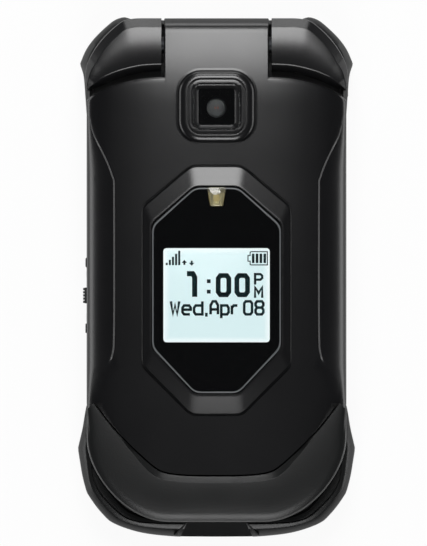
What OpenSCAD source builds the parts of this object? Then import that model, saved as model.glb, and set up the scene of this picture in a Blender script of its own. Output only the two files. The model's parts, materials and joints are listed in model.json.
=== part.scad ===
// Rugged folding phone, shown closed and lying on its back.
// +X is the right side, +Y points to the hinge, +Z comes out of the lid. The back lies at z = 0.

/* [Body] */
// Length of the closed phone over its end bumpers
phone_len = 111; // [106:0.5:116]
// Width of the base and lid between the bumpers
body_w = 55.4; // [54:0.2:58]
// Height of the base up to its key deck
base_h = 13; // [12.6:0.1:15]
// Height where the rear casing meets the key deck
split_h = 9; // [8.8:0.1:9.4]
// Wall of the casings
wall = 1.5; // [1.2:0.1:1.8]
// Bevel round the bottom edge of the rear casing
foot_bevel = 1.1; // [0.5:0.1:1.4]

/* [Bumpers] */
// How far the corner bumpers stand out of the sides
corner_flare = 1.5; // [0.8:0.1:2]
// How far the bottom bumper stands out of the sides
end_flare = 1.9; // [1.2:0.1:2.4]
// Length of the bottom bumper past the base
end_guard = 3; // [2.6:0.1:3.6]
// Depth of the bumpers' seats in the casings
guard_sink = 1.4; // [1:0.1:1.6]
// Bevel along the bumpers' edges
guard_bevel = 2; // [1:0.1:2.6]
// Depth of the thumb notch in the bottom bumper
notch_h = 4; // [3:0.2:5]
// Half width of the thumb notch at its inner end
notch_w = 6; // [5:0.2:7]

/* [Lid] */
// Thickness of the lid
lid_t = 8.6; // [8.4:0.1:9.4]
// Gap between lid and key deck
lid_gap = 0.4; // [0.3:0.05:0.6]
// Thickness of the lid's inner bezel
inner_t = 1.5; // [1.4:0.1:1.6]
// Roof thickness of the lid shell
roof = 1.7; // [1.4:0.1:2]
// Height of the rounded edge of the lid
lid_round = 2.6; // [2:0.1:3]
// Depth of the side flutes
flute_depth = 2; // [1.2:0.1:2.4]
// Distance from the centre to the flutes' ridges
flute_x = 21.5; // [20.5:0.1:22.5]
// Height of the chin bumper above the lid's face
chin_proud = 0.6; // [0.3:0.1:0.9]
// Width of the chin bumper's upper chamfer
chin_band = 1.45; // [1:0.05:1.8]
// How far the outer window's bezel and the camera surround stand proud
bezel_proud = 1.5; // [1.1:0.1:1.8]

/* [Hinge] */
// Distance of the hinge axis from the phone's upper end
hinge_back = 6.2; // [6.1:0.05:6.6]
// Height of the hinge axis above the key deck
hinge_rise = 2.7; // [2.5:0.1:2.9]
// Half width of the lid's centre section
barrel_half = 11.1; // [9.5:0.1:12.5]
// Gap between the centre section and each shoulder
barrel_gap = 0.6; // [0.4:0.1:0.8]
// Radius of the centre section's round underside
barrel_r = 5.6; // [5:0.1:5.9]
// Radius of the hinge pin and of the hinge module's shaft
pin_r = 1.8; // [1.4:0.1:2.2]
// Radial running clearance of the hinge
pin_clear = 0.06; // [0.04:0.01:0.09]
// Radius of the hinge module's body
module_r = 3.1; // [2.8:0.1:3.4]

/* [Outer window] */
// Distance from the phone's upper end to the middle of the outer window
window_back = 58.3; // [57.5:0.1:59]
// Length of the outer window's opening
window_len = 43.8; // [42:0.2:45]
// Width of the outer window's opening
window_w = 27.6; // [26:0.2:28.6]
// Length of the outer window's end edges
window_flat = 9.4; // [8:0.2:11]
// Slope of the window bezel at its ends
bezel_end = 4.5; // [3.6:0.1:4.8]
// Slope of the window bezel at its sides
bezel_side = 2; // [1.4:0.1:2.4]
// Thickness of the outer and the camera windows
glass_t = 0.8; // [0.6:0.05:0.9]
// Lit width of the outer display
lcd_w = 22.5; // [20:0.1:23]
// Lit length of the outer display
lcd_len = 19.9; // [18:0.1:21]

/* [Camera] */
// Distance from the phone's upper end to the camera's middle
camera_back = 19.5; // [19.2:0.1:19.9]
// Width of the camera surround
camera_w = 16.5; // [15.4:0.1:17]
// Width of the camera window
camera_glass = 9.6; // [8.6:0.1:10]

/* [Keypad] */
// Gap between the key columns
col_gap = 1.4; // [1.2:0.1:1.8]
// Gap between the number rows
row_gap = 1.4; // [1.2:0.1:1.8]
// Distance from the base's sides to the outer key columns
key_edge = 4.1; // [4:0.1:4.6]
// Distance from the phone's lower end to the last key row
key_foot = 20.4; // [19:0.2:23]
// Clearance round each key
key_clear = 0.25; // [0.2:0.05:0.3]
// Press travel of the keys
key_travel = 0.35; // [0.2:0.05:0.4]
// Thickness of the deck plate
deck_t = 1.2; // [1:0.05:1.4]
// Depth of the key field below the deck's rim
field_sink = 0.4; // [0.3:0.05:0.5]
// Outer diameter of the four-way ring
ring_d = 18; // [16:0.2:19]
// Diameter of the centre key
ok_d = 7.2; // [6.6:0.2:8]
// Gap between the centre key and the four-way ring
ok_gap = 0.6; // [0.5:0.05:0.8]

/* [Sides] */
// Height of the middle of the side keys and of the charging socket
side_z = 5.4; // [5.2:0.1:5.6]
// Width of the side keys across the phone's thickness
side_key_w = 3; // [2.6:0.1:3.4]
// How far the speaker key stands out of the side
speaker_proud = 0.9; // [0.6:0.1:1.1]
// Radius of the headset socket's bore
jack_r = 1.8; // [1.75:0.01:1.85]
// Length of the headset socket's bore
jack_len = 14; // [12:0.5:15]
// Thickness of the port covers
cover_t = 1.2; // [1:0.1:1.4]
// Clearance round the port covers
cover_clear = 0.2; // [0.15:0.05:0.25]

/* [Main screen] */
// Distance from the lid's sides to the main screen
screen_edge = 6; // [5.6:0.1:7]
// Distance from the lid's free end to the main screen
screen_foot = 23.3; // [22:0.1:26]
// Distance from the lid's hinge end to the main screen
screen_head = 10.9; // [10.6:0.1:13]

/* [Battery] */
// Gap between the battery and the charging socket
bay_gap = 1; // [0.8:0.1:2]
// Distance from the phone's lower end to the battery
battery_foot = 19; // [18.5:0.1:21]
// Gap between the battery and the loudspeaker
speaker_gap = 7; // [6.8:0.1:9]
// Thickness of the battery
battery_t = 4.6; // [4:0.1:4.8]
// Thickness of the battery cover
back_t = 1.3; // [1.1:0.1:1.4]
// Diameter of the cover lock
lock_d = 9; // [8:0.2:10]

/* [Hidden] */
$fn = 48;

// Ends of the phone, and the planes along Z
top_y = phone_len / 2;
bottom_y = -phone_len / 2;
half_w = body_w / 2;
base_top_y = top_y - 0.6;
core_bottom_y = bottom_y + end_guard;
lid_z = base_h + lid_gap;
shell_z = lid_z + inner_t;
face_z = lid_z + lid_t;
ceiling_z = face_z - roof;
proud_z = face_z + bezel_proud;
hinge_y = top_y - hinge_back;
hinge_z = base_h + hinge_rise;

// Shared clearances
fit = 0.05;
seat = 0.15;

// The lid's edges, each set back from the edge of the base
lid_half = half_w - 0.2;
lid_end_y = hinge_y - 6.9;
lid_bottom_y = core_bottom_y + 0.7;
shoulder_y = hinge_y - 5.5;

// Circle in which the lid's centre section turns on the hinge, and the base's inner end below it
centre_bevel = 2.1;
face_rel = face_z - hinge_z;
barrel_end = base_top_y - hinge_y;
sweep_r = max(norm([barrel_end - centre_bevel, face_rel]), norm([barrel_end, face_rel - centre_bevel])) + 0.3;
inner_end_y = hinge_y - sweep_r - 1;

// A round stretch of an outline
function arc(cx, cy, r, a0, a1, n) =
    [for (i = [0:n]) [cx + r * cos(a0 + (a1 - a0) * i / n), cy + r * sin(a0 + (a1 - a0) * i / n)]];

// One point of a smooth curve from a to d, and the whole curve
function bend_at(a, b, c, d, t) =
    pow(1 - t, 3) * a + 3 * pow(1 - t, 2) * t * b + 3 * (1 - t) * t * t * c + pow(t, 3) * d;
function bend(a, b, c, d, n) = [for (i = [0:n]) bend_at(a, b, c, d, i / n)];

// A right half and its mirror image, as one closed outline
function mirrored(half) = concat(half, [for (i = [len(half) - 1:-1:0]) [-half[i][0], half[i][1]]]);

// Outline points lifted to a height
function at(points, z) = [for (p = points) [p[0], p[1], z]];

// A rectangle with round corners
function soft_box(w, l, r) = concat(
    arc(w / 2 - r, r - l / 2, r, -90, 0, 4), arc(w / 2 - r, l / 2 - r, r, 0, 90, 4),
    arc(r - w / 2, l / 2 - r, r, 90, 180, 4), arc(r - w / 2, r - l / 2, r, 180, 270, 4));

// Outline of the base, drawn in by d
base_corner_r = 13.5;
base_tuck = 0.9;
function base_half(d) = concat(
    arc(half_w - base_tuck - base_corner_r, core_bottom_y + base_corner_r, base_corner_r - d, -90, 0, 7),
    [[half_w - d, bottom_y + 27]],
    bend([half_w - d, top_y - 13.5], [half_w - d, top_y - 7.7], [half_w - 6.2 - d / 2, base_top_y - d],
         [half_w - 10.7 - d / 2, base_top_y - d], 8));
function base_line(d) = mirrored(base_half(d));

// Outline of the lid without its centre section, drawn in by d
function lid_half_line(d) = concat(
    bend([10, lid_bottom_y + d], [19.5 - d, lid_bottom_y + d], [lid_half - d, lid_bottom_y + 10.3],
         [lid_half - d, lid_bottom_y + 17.8], 9),
    bend([lid_half - d, lid_end_y - 4.9], [lid_half - 2.5 - d, lid_end_y - 2.4 - d],
         [18, lid_end_y - d], [11, lid_end_y - d], 6));
function lid_line(d) = mirrored(lid_half_line(d));

// The chin bumper's upper edge on the lid's right half, t = 0 in the middle and 1 at the horn
chin_y = bottom_y + 13.55;
horn = [half_w - 1.8, bottom_y + 29];
function chin_upper(t) = bend_at([0, chin_y], [17, chin_y - 0.6], [14.5, chin_y + 4], horn, t);

// The lid's outer edge beside it
function chin_outer(t) =
    t < 0.3 ? [10 * t / 0.3, lid_bottom_y]
    : t < 0.85 ? bend_at([10, lid_bottom_y], [19.5, lid_bottom_y], [lid_half, lid_bottom_y + 10.3],
                         [lid_half, lid_bottom_y + 17.8], (t - 0.3) / 0.55)
    : [lid_half, lid_bottom_y + 17.8 + (t - 0.85) / 0.15 * (horn[1] - 1.8 - lid_bottom_y - 17.8)];

// Edge height of the lid's face at an inset from its rim
function rim_z(d) = face_z - lid_round * pow(1 - min(d, 5) / 5, 2.4);

// Triangles over a run of rings with the same count of points, closed at both ends
module skin(rings) {
    n = len(rings[0]);
    m = len(rings);
    points = [for (ring = rings) each ring];
    sides = [for (i = [0:m - 2]) for (j = [0:n - 1]) let (k = (j + 1) % n)
        each [[i * n + j, (i + 1) * n + j, (i + 1) * n + k], [i * n + j, (i + 1) * n + k, i * n + k]]];
    ends = [[for (j = [0:n - 1]) j], [for (j = [n - 1:-1:0]) (m - 1) * n + j]];
    polyhedron(points = points, faces = concat(sides, ends), convexity = 6);
}

// A straight prism over an outline between two heights
module prism(points, z0, z1) {
    translate([0, 0, z0])
        linear_extrude(height = z1 - z0)
            polygon(points);
}

// A box given by its low and high corners
module block(low, high) {
    translate(low)
        cube(high - low);
}

// Both sides of the phone
module both_sides() {
    children();
    mirror([1, 0, 0])
        children();
}

/* ---- Base ---- */

// Places on the base that several pieces share
speaker_size = [11, 15, 4.6];
speaker_at = [12.7 - half_w, inner_end_y - 10.8];
usb_depth = 8.2;
usb_w = 9;
battery_w = 2 * (half_w - usb_depth - bay_gap);
battery_len = speaker_at[1] - speaker_size[1] / 2 - speaker_gap - bottom_y - battery_foot;
bay_y = bottom_y + battery_foot + battery_len / 2;
bay_z = back_t + 0.3;
board_z = bay_z + battery_t + 1.2;
board_t = 0.8;
dome_z = board_z + board_t + fit;
dome_t = 0.3;
field_z = base_h - field_sink;
plate_z = field_z - deck_t;
lock_y = bay_y - battery_len / 2 - 4.2;
usb_y = 4;
usb_len = 12;
jack_y = top_y - 13.4;
jack_z = side_z - 0.8;
jack_lift = 0.5;
plug_len = 1;
jack_mouth = half_w + jack_lift - cover_t - plug_len - 0.1;
jack_cover_y = jack_y - 0.45;
jack_cover_len = 6.7;
cover_h = 6;
screw_x = half_w - 5.1;
screw_ys = [top_y - 22, bottom_y + 18];
guard_z0 = 0.6;
guard_top_z = base_h - 0.2;
bumper_lip = base_h + 0.8;

// Widened path of the corner bumper's outer edge, from the end to the side
corner_path = concat(
    [[half_w - 9.9, base_top_y + 0.05], [half_w - 7.7, top_y]],
    bend([half_w - 6.0, top_y - 0.5], [half_w - 3.5, top_y - 3], [half_w + 0.2, top_y - 6.2],
         [half_w + corner_flare, top_y - 10], 5),
    [[half_w + corner_flare * 0.5, top_y - 13.2], [half_w + corner_flare * 0.25, top_y - 16.4],
     [half_w + 0.05, top_y - 21]]);
corner_seat = concat(
    [[half_w - 9.9, base_top_y - guard_sink], [half_w - 8.4, base_top_y - guard_sink - 0.2]],
    bend([half_w - 7.2, base_top_y - guard_sink - 0.7], [half_w - 3.9, base_top_y - 3.1],
         [half_w - guard_sink - 0.2, base_top_y - 7.6], [half_w - guard_sink, top_y - 11.4], 5),
    [[half_w - guard_sink, top_y - 13.2], [half_w - guard_sink, top_y - 16.4],
     [half_w - guard_sink, top_y - 21]]);

// Path of the bottom bumper's outer edge and of its seat, from the middle to the side
end_path = concat(
    [[0, bottom_y], [notch_w + 1.9, bottom_y + 0.15], [half_w - 11.4, bottom_y + 1]],
    bend([half_w - 7.6, bottom_y + 1.8], [half_w - 5, bottom_y + 2.8], [half_w - 0.6, bottom_y + 8],
         [half_w, bottom_y + 9.5], 5),
    [[half_w + end_flare, bottom_y + 18.9], [half_w + end_flare * 0.47, bottom_y + 23.2],
     [half_w + 0.05, bottom_y + 28.3]]);
end_seat = concat(
    [[0, core_bottom_y + guard_sink], [notch_w, core_bottom_y + guard_sink],
     [half_w - 13.7, core_bottom_y + guard_sink]],
    bend([half_w - 11, core_bottom_y + guard_sink + 0.4], [half_w - 7.4, core_bottom_y + 3],
         [half_w - 4.2, core_bottom_y + 5.4], [half_w - 3, core_bottom_y + 10], 5),
    [[half_w - 2.3, bottom_y + 18.9], [half_w - 1.9, bottom_y + 23.2], [half_w - guard_sink, bottom_y + 28.3]]);

// The pockets behind the bumpers, from their seats outward
module corner_pocket() {
    prism(concat(corner_seat, [[half_w + 6, top_y - 21], [half_w + 6, top_y + 6], [half_w - 9.9, top_y + 6]]),
          -1, base_h + 1);
}

module end_pocket() {
    prism(concat(end_seat, [[half_w + 6, bottom_y + 28.3], [half_w + 6, bottom_y - 6], [0, bottom_y - 6]]),
          -1, base_h + 1);
}

// One ring across a bumper, between a seat point and an outer point
function guard_ring(a, b, z0, z1) =
    let (run = norm(b - a), u = (b - a) / run, near = a + u * fit, edge = b - u * min(guard_bevel, run * 0.5))
    [[near[0], near[1], z0], [edge[0], edge[1], z0], [b[0], b[1], z0 + guard_bevel * 1.2],
     [b[0], b[1], z1 - guard_bevel * 1.5], [edge[0], edge[1], z1], [near[0], near[1], z1]];

module corner_bumper() {
    difference() {
        skin([for (i = [0:len(corner_path) - 1])
            guard_ring(corner_seat[i], corner_path[i], guard_z0, guard_top_z)]);
        // Gap to the casing at the far end, on the side
        translate([half_w - 4, top_y - 22, -1])
            cube([8, 1 + seat, base_h + 2]);
    }
}

module shoulder_left() {
    color("#262627")
        mirror([1, 0, 0])
            shoulder(pin_r + pin_clear);
}

module shoulder_right() {
    color("#262627")
        shoulder(pin_r + fit);
}

// Turns an outline in Y and Z into a solid between two places along X
module along_x(points, x0, x1) {
    translate([x0, 0, 0])
        rotate([90, 0, 90])
            linear_extrude(height = x1 - x0)
                polygon(points);
}

// A cylinder round the hinge axis
module on_axis(r, x0, x1) {
    translate([x0, hinge_y, hinge_z])
        rotate([0, 90, 0])
            cylinder(r = r, h = x1 - x0);
}

// Room in the base in which the lid's centre section turns
module barrel_room() {
    side = barrel_half + barrel_gap;
    on_axis(sweep_r, -side, side);
    block([-side, hinge_y, hinge_z - face_rel + 0.5], [side, top_y + 1, base_h + 9]);
}

// A shoulder stands beside the centre section and carries the hinge
shoulder_x = barrel_half + barrel_gap;
shoulder_top = hinge_z + 5.2;
function shoulder_low(x) =
    shoulder_y - 4.1 * pow(max(0, (x - shoulder_x) / (half_w - shoulder_x)), 2.3);
function shoulder_ring(x, high) =
    let (low = shoulder_low(x), edge = half_w - 1.8,
         top = shoulder_top - 1.5 * pow(max(0, (x - edge) / 1.8), 1.6))
    [[x, low, base_h], [x, high, base_h], [x, high, top - 1.7], [x, high - 1.9, top],
     [x, low + 1.3, top], [x, low, top - 1.4]];

module shoulder(bore_r) {
    corner = bend([half_w - 10.7, base_top_y], [half_w - 6.2, base_top_y], [half_w - 0.1, top_y - 7.7],
                  [half_w - 0.1, top_y - 13], 8);
    difference() {
        skin(concat([shoulder_ring(shoulder_x, base_top_y)],
                    [for (p = corner) shoulder_ring(p[0], max(p[1], shoulder_low(p[0]) + 3.3))]));
        on_axis(bore_r, shoulder_x - 1, shoulder_x + 6.5);
    }
}

// Inside of the base, drawn in from its outline and closed below the hinge
function base_inside(d) =
    [for (p = base_line(wall + guard_sink + d)) [p[0], min(p[1], inner_end_y - d)]];

// Opening in the side for a port cover, with its seat
module cover_seat(y, length, z) {
    block([half_w - cover_t - fit, y - length / 2 - cover_clear, z - cover_h / 2 - cover_clear],
          [half_w + 9, y + length / 2 + cover_clear, z + cover_h / 2 + cover_clear]);
}

// Slot in the left side for a key
side_keys = [["up", 1.6, 5.4], ["speaker", -3.95, 3.4], ["down", -9.5, 5.4]];
side_key_depth = 2.3;
module side_key_slot(key) {
    block([-half_w - 9, key[1] - key[2] / 2 - key_clear, side_z - side_key_w / 2 - key_clear],
          [side_key_depth + key_travel + seat - half_w, key[1] + key[2] / 2 + key_clear,
           side_z + side_key_w / 2 + key_clear]);
}

cover_w = battery_w + 5;
cover_len = battery_len + 12;
cover_y = bay_y - 3;

module rear_casing() {
    color("#1c1c1e")
    difference() {
        skin([at(base_line(foot_bevel * 1.4), 0), at(base_line(foot_bevel * 0.35), foot_bevel),
              at(base_line(0), foot_bevel * 2.1), at(base_line(0), split_h)]);
        prism(base_inside(0), board_z - 0.1, split_h + 1);
        // Battery bay, cover recess, seal groove and the lock's pocket
        translate([0, bay_y, 0])
            prism(soft_box(battery_w + 0.6, battery_len + 0.6, 1.5), -1, bay_z + battery_t + seat);
        translate([0, cover_y, 0])
            prism(soft_box(cover_w + 2 * seat, cover_len + 2 * seat, 6 + seat), -1, back_t + fit);
        translate([0, bay_y, 0])
            prism(soft_box(battery_w + 3.8, battery_len + 3.8, 3), 0, back_t + 0.55);
        translate([0, lock_y, 0])
            cylinder(r = lock_d / 2 - 0.2, h = back_t + 1.2);
        // Room for the loudspeaker and its sound slots in the back
        translate([speaker_at[0], speaker_at[1], 0])
            prism(soft_box(speaker_size[0] + 0.3, speaker_size[1] + 0.3, 1.5), board_z - 0.15 - speaker_size[2],
                  split_h);
        for (i = [-2:2])
            translate([speaker_at[0] + i * 1.7, speaker_at[1], -1])
                cylinder(r = 0.5, h = base_h / 2);
        // Sockets on the right side
        block([half_w - usb_depth - 0.2, usb_y - usb_w / 2 - 0.2, side_z - 1.9],
              [half_w + 2, usb_y + usb_w / 2 + 0.2, side_z + 1.9]);
        cover_seat(usb_y, usb_len, side_z);
        block([jack_mouth - jack_len - 0.2, jack_y - 3.1, jack_z - 2.8], [half_w + 2, jack_y + 3.1, split_h + 1]);
        for (key = side_keys)
            side_key_slot(key);
        both_sides() {
            corner_pocket();
            end_pocket();
        }
        both_sides()
            for (y = screw_ys)
                translate([screw_x, y, -1])
                    cylinder(r = 1.7, h = 2.6);
        barrel_room();
    }
}

// Places of the keys on the deck
ring_r = ring_d / 2;
ok_r = ok_d / 2;
ring_y = inner_end_y - ring_r - 2.8;
call_len = 7.4;
row_y = ring_y - ring_r - 2.3 - call_len / 2;
rows_top = row_y - call_len / 2 - 2;
key_pitch_x = (2 * (half_w - key_edge) + col_gap) / 3;
key_pitch_y = (rows_top - bottom_y - key_foot + row_gap) / 4;
key_w = key_pitch_x - col_gap;
key_len = key_pitch_y - row_gap;
first_row_y = rows_top - key_len / 2;
soft_w = 10.4;
soft_len = 14;
soft_x = half_w - 9.1;
function number_place(i) = [(i % 3 - 1) * key_pitch_x, first_row_y - floor(i / 3) * key_pitch_y];
key_top = base_h - fit;
flange_z = plate_z - 0.7;
flange_t = 0.5;
stem_z = dome_z + dome_t + key_travel + seat;

// One sprung key: its cap in the deck, a flange under the deck and a stem over its dome
module press_key(place, w, l, r) {
    translate([place[0], place[1], 0]) {
        prism(soft_box(w, l, r), flange_z + flange_t, key_top - 0.3);
        prism(soft_box(w - 0.7, l - 0.7, r - 0.3), key_top - 0.3, key_top);
        prism(soft_box(w + 0.7, l + 0.7, r), flange_z, flange_z + flange_t);
        translate([0, 0, stem_z])
            cylinder(r = 1.2, h = flange_z - stem_z);
    }
}

module key_hole(place, w, l, r) {
    translate([place[0], place[1], 0])
        prism(soft_box(w + 2 * key_clear, l + 2 * key_clear, r + key_clear), plate_z - 1, base_h + 1);
}

// The sunk field round the keys
field_top = ring_y + ring_r + 0.3;
field_low = bottom_y + 8.5;
field_y = (field_top + field_low) / 2;
field_len = field_top - field_low;

module keypad_deck() {
    color("#232325")
    difference() {
        skin([at(base_line(0), split_h + fit), at(base_line(0), base_h - 0.6), at(base_line(0.45), base_h)]);
        prism(base_inside(0), split_h - 1, plate_z);
        translate([0, field_y, 0])
            prism(soft_box(2 * (half_w - 2.4), field_len, 8), field_z, base_h + 1);
        for (i = [0:11])
            key_hole(number_place(i), key_w, key_len, 2);
        for (x = [-key_pitch_x, 0, key_pitch_x])
            key_hole([x, row_y], key_w, call_len, 2);
        for (x = [-soft_x, soft_x])
            key_hole([x, ring_y], soft_w, soft_len, 3);
        translate([0, ring_y, plate_z - 1])
            cylinder(r = ring_r + key_clear, h = 4);
        translate([0, bottom_y + 12.5, plate_z - 1])
            cylinder(r = 0.6, h = 4);
        both_sides() {
            corner_pocket();
            end_pocket();
        }
        barrel_room();
    }
}

module corner_bumper_left() {
    color("#3a3b3c")
        mirror([1, 0, 0])
            corner_bumper();
}

module corner_bumper_right() {
    color("#3a3b3c")
    difference() {
        corner_bumper();
        block([half_w - 3, jack_cover_y - jack_cover_len / 2 - cover_clear, jack_z - cover_h / 2 - cover_clear],
              [half_w + 9, jack_cover_y + jack_cover_len / 2 + cover_clear, jack_z + cover_h / 2 + cover_clear]);
    }
}

module bottom_bumper() {
    last = len(end_path) - 1;
    half = [for (i = [last:-1:0]) guard_ring(end_seat[i], end_path[i], guard_z0, bumper_lip)];
    color("#3a3b3c")
    difference() {
        skin(concat(half, [for (i = [last - 1:-1:0]) [for (p = half[i]) [-p[0], p[1], p[2]]]]));
        // Thumb notch, wider towards the outside
        prism([[-notch_w, core_bottom_y + 0.6], [-notch_w - 2.2, bottom_y - 1],
               [notch_w + 2.2, bottom_y - 1], [notch_w, core_bottom_y + 0.6]],
              bumper_lip - notch_h, bumper_lip + 1);
        // Room for the chin of the closed lid
        prism([for (p = lid_line(-0.6)) [p[0], p[1] - 0.1]], base_h - 0.05, bumper_lip + 1);
        both_sides()
            block([half_w - 4, bottom_y + 28.3 - seat, -1], [half_w + 4, bottom_y + 29, base_h + 2]);
    }
}

module battery_cover() {
    color("#1f1f21")
    difference() {
        translate([0, cover_y, 0])
            prism(soft_box(cover_w, cover_len, 6), 0, back_t);
        translate([0, lock_y, -1])
            cylinder(r = lock_d / 2 + seat, h = back_t + 2);
    }
}

module battery_seal() {
    color("#b5402c")
    translate([0, bay_y, 0])
        difference() {
            prism(soft_box(battery_w + 3.6, battery_len + 3.6, 2.9), back_t + fit, back_t + 0.5);
            prism(soft_box(battery_w + 1.2, battery_len + 1.2, 1.8), 0, back_t + 1);
        }
}

module battery() {
    color("#4a4d52")
    translate([0, bay_y, 0])
        prism(soft_box(battery_w, battery_len, 1.4), bay_z, bay_z + battery_t);
}

// The lock's catch is short towards the seal, so that it clears it when it turns
catch_short = 2;
catch_half = 1.2;
module cover_lock() {
    color("#6d7074")
    translate([0, lock_y, 0]) {
        difference() {
            cylinder(r = lock_d / 2, h = back_t - 0.1);
            block([-lock_d * 0.33, -0.6, -1], [lock_d * 0.33, 0.6, 0.7]);
        }
        translate([0, 0, back_t - 0.1])
            cylinder(r = 1.6, h = 0.3);
        block([-catch_short, -catch_half, back_t + 0.1], [lock_d / 2 - 0.9, catch_half, back_t + 0.9]);
    }
}

module main_board() {
    color("#1f5d3a")
        prism(base_inside(0.4), board_z, board_z + board_t);
}

module dome_sheet() {
    color("#c9ccd0")
        translate([0, field_y, 0])
            prism(soft_box(2 * (half_w - 4.2), field_len - 14, 3), dome_z, dome_z + dome_t);
}

module loudspeaker() {
    color("#55585c")
    translate([speaker_at[0], speaker_at[1], 0])
        prism(soft_box(speaker_size[0], speaker_size[1], 1.4), board_z - 0.1 - speaker_size[2], board_z - 0.05);
}

module usb_socket() {
    mouth = half_w - cover_t - 0.3;
    color("#9a9da1")
    difference() {
        block([half_w - usb_depth, usb_y - usb_w / 2, side_z - 1.8], [mouth, usb_y + usb_w / 2, side_z + 1.8]);
        difference() {
            translate([mouth - usb_depth + 2.7, usb_y, side_z])
                rotate([90, 0, 90])
                    linear_extrude(height = usb_depth)
                        polygon(soft_box(usb_w - 0.6, 2.6, 1.2));
            block([half_w - usb_depth + 0.2, usb_y - 3.3, side_z - 0.35], [mouth - 0.9, usb_y + 3.3, side_z + 0.35]);
        }
    }
}

module headset_socket() {
    color("#3c3e41")
    difference() {
        block([jack_mouth - jack_len, jack_y - 3, jack_z - 2.7], [jack_mouth, jack_y + 3, jack_z + 2.7]);
        translate([jack_mouth - jack_len - 1, jack_y, jack_z])
            rotate([0, 90, 0])
                cylinder(r = jack_r, h = jack_len + 2);
    }
}

module case_screws() {
    color("#8c8f93")
    both_sides()
        for (y = screw_ys)
            translate([screw_x, y, 0.4])
                difference() {
                    cylinder(r = 1.55, h = 1.1);
                    translate([0, 0, -0.1])
                        cylinder(r = 0.75, h = 0.8, $fn = 6);
                }
}

module hinge_pin() {
    color("#b9bcc0")
        on_axis(pin_r, barrel_half - 7, shoulder_x + 6.3);
}

// A rubber flap over a port: its bead turns on the axis, and a small plug closes the socket
module port_cover(y, length, z, lift) {
    low = y - length / 2;
    x1 = half_w + lift;
    bead = cover_t / 2;
    block([x1 - cover_t, low + bead, z - cover_h / 2], [x1, y + length / 2, z + cover_h / 2]);
    translate([x1 - bead, low + bead, z - cover_h / 2])
        cylinder(r = bead, h = cover_h);
}

module usb_cover() {
    color("#303133") {
        port_cover(usb_y, usb_len, side_z, 0);
        block([half_w - cover_t - 0.6, usb_y - 3.8, side_z - 1], [half_w - cover_t, usb_y + 3.8, side_z + 1]);
    }
}

module headset_cover() {
    color("#303133") {
        port_cover(jack_cover_y, jack_cover_len, jack_z, jack_lift);
        translate([half_w + jack_lift - cover_t - plug_len, jack_y, jack_z])
            rotate([0, 90, 0])
                cylinder(r = 1, h = plug_len + 0.1);
    }
}

// A key on the left side, with a raised end or ribs over its cap
module side_key(key, cap) {
    along_x([for (p = soft_box(key[2], side_key_w, 1.2)) p + [key[1], side_z]],
            -half_w - cap, side_key_depth - half_w);
}

module volume_up_key() {
    key = side_keys[0];
    color("#2c2d2f") {
        side_key(key, 0.1);
        along_x([for (p = soft_box(2, side_key_w - 0.4, 0.9)) p + [key[1] + 1.5, side_z]],
                -half_w - 0.4, -half_w);
    }
}

module speaker_key() {
    key = side_keys[1];
    rib = key[2] / 7;
    color("#2c2d2f") {
        side_key(key, speaker_proud - 0.3);
        for (i = [-2:2])
            translate([0, key[1] + i * rib * 1.4, side_z])
                block([-half_w - speaker_proud, -rib / 2, -1.2], [-half_w, rib / 2, 1.2]);
    }
}

module volume_down_key() {
    key = side_keys[2];
    color("#2c2d2f") {
        side_key(key, 0.1);
        along_x([for (p = soft_box(2, side_key_w - 0.4, 0.9)) p + [key[1] - 1.5, side_z]],
                -half_w - 0.4, -half_w);
    }
}

module number_key(i) {
    color("#2a2a2c")
        press_key(number_place(i), key_w, key_len, 2);
}

module call_key(column, tint) {
    color(tint)
        press_key([(column - 1) * key_pitch_x, row_y], key_w, call_len, 2);
}

module soft_key(side) {
    color("#2a2a2c")
        press_key([side * soft_x, ring_y], soft_w, soft_len, 3);
}

// The four-way ring rocks about its own middle
module nav_ring() {
    color("#35363a")
    translate([0, ring_y, 0])
        difference() {
            union() {
                translate([0, 0, flange_z])
                    cylinder(r = ring_r, h = key_top - flange_z);
                translate([0, 0, flange_z - 0.15])
                    cylinder(r = ring_r + 0.5, h = flange_t);
            }
            translate([0, 0, flange_z - 1])
                cylinder(r = ok_r + ok_gap, h = 5);
            translate([0, 0, key_top - 0.25])
                rotate_extrude()
                    translate([(ring_r + ok_r) / 2 - 1.4, 0])
                        square([2.8, 1]);
        }
}

module ok_key() {
    color("#2a2a2c")
    translate([0, ring_y, 0]) {
        translate([0, 0, flange_z - 0.4])
            cylinder(r = ok_r, h = key_top - flange_z + 0.4);
        translate([0, 0, flange_z - 0.8])
            cylinder(r = ok_r + 0.7, h = 0.4);
        translate([0, 0, stem_z])
            cylinder(r = 1.2, h = flange_z - stem_z);
    }
}

/* ---- Lid ---- */

win_y = top_y - window_back;
cam_y = top_y - camera_back;
torch_top_y = win_y + window_len / 2 + 0.3;
glass_z = face_z + fit;

// Rounds the corners of a convex outline
function between(p, q, s) = p + (q - p) * min(0.45, s / norm(q - p));
function rounded(points, s) =
    let (n = len(points))
    [for (i = [0:n - 1])
        let (p = points[i], a = between(p, points[(i + n - 1) % n], s), b = between(p, points[(i + 1) % n], s))
        each [a, (a + 2 * p + b) / 4, b]];

// The eight-sided window outline, grown by dx at its sides and dy at its ends
function win_line(dx, dy) =
    let (w = window_w / 2 + dx, top = win_y + window_len / 2 + dy, low = win_y - window_len / 2 - dy,
         flat = window_flat / 2 + dx * 0.1)
    rounded([[flat, low], [w, low + 9.5 + 0.2 * dy], [w, top - 8 - 0.15 * dy], [flat, top], [-flat, top],
             [-w, top - 8 - 0.15 * dy], [-w, low + 9.5 + 0.2 * dy], [-flat, low]], 1.2 + 0.4 * dx);

// The torch lens narrows towards the window's middle
torch_low = 1.35;
torch_high = 2;
torch_len = 4.4;
function torch_line(d, over) =
    let (x = torch_high + d + over * (torch_high - torch_low) / torch_len, y0 = torch_top_y - torch_len - d)
    [[-torch_low - d, y0], [torch_low + d, y0], [x, torch_top_y + over], [-x, torch_top_y + over]];

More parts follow.
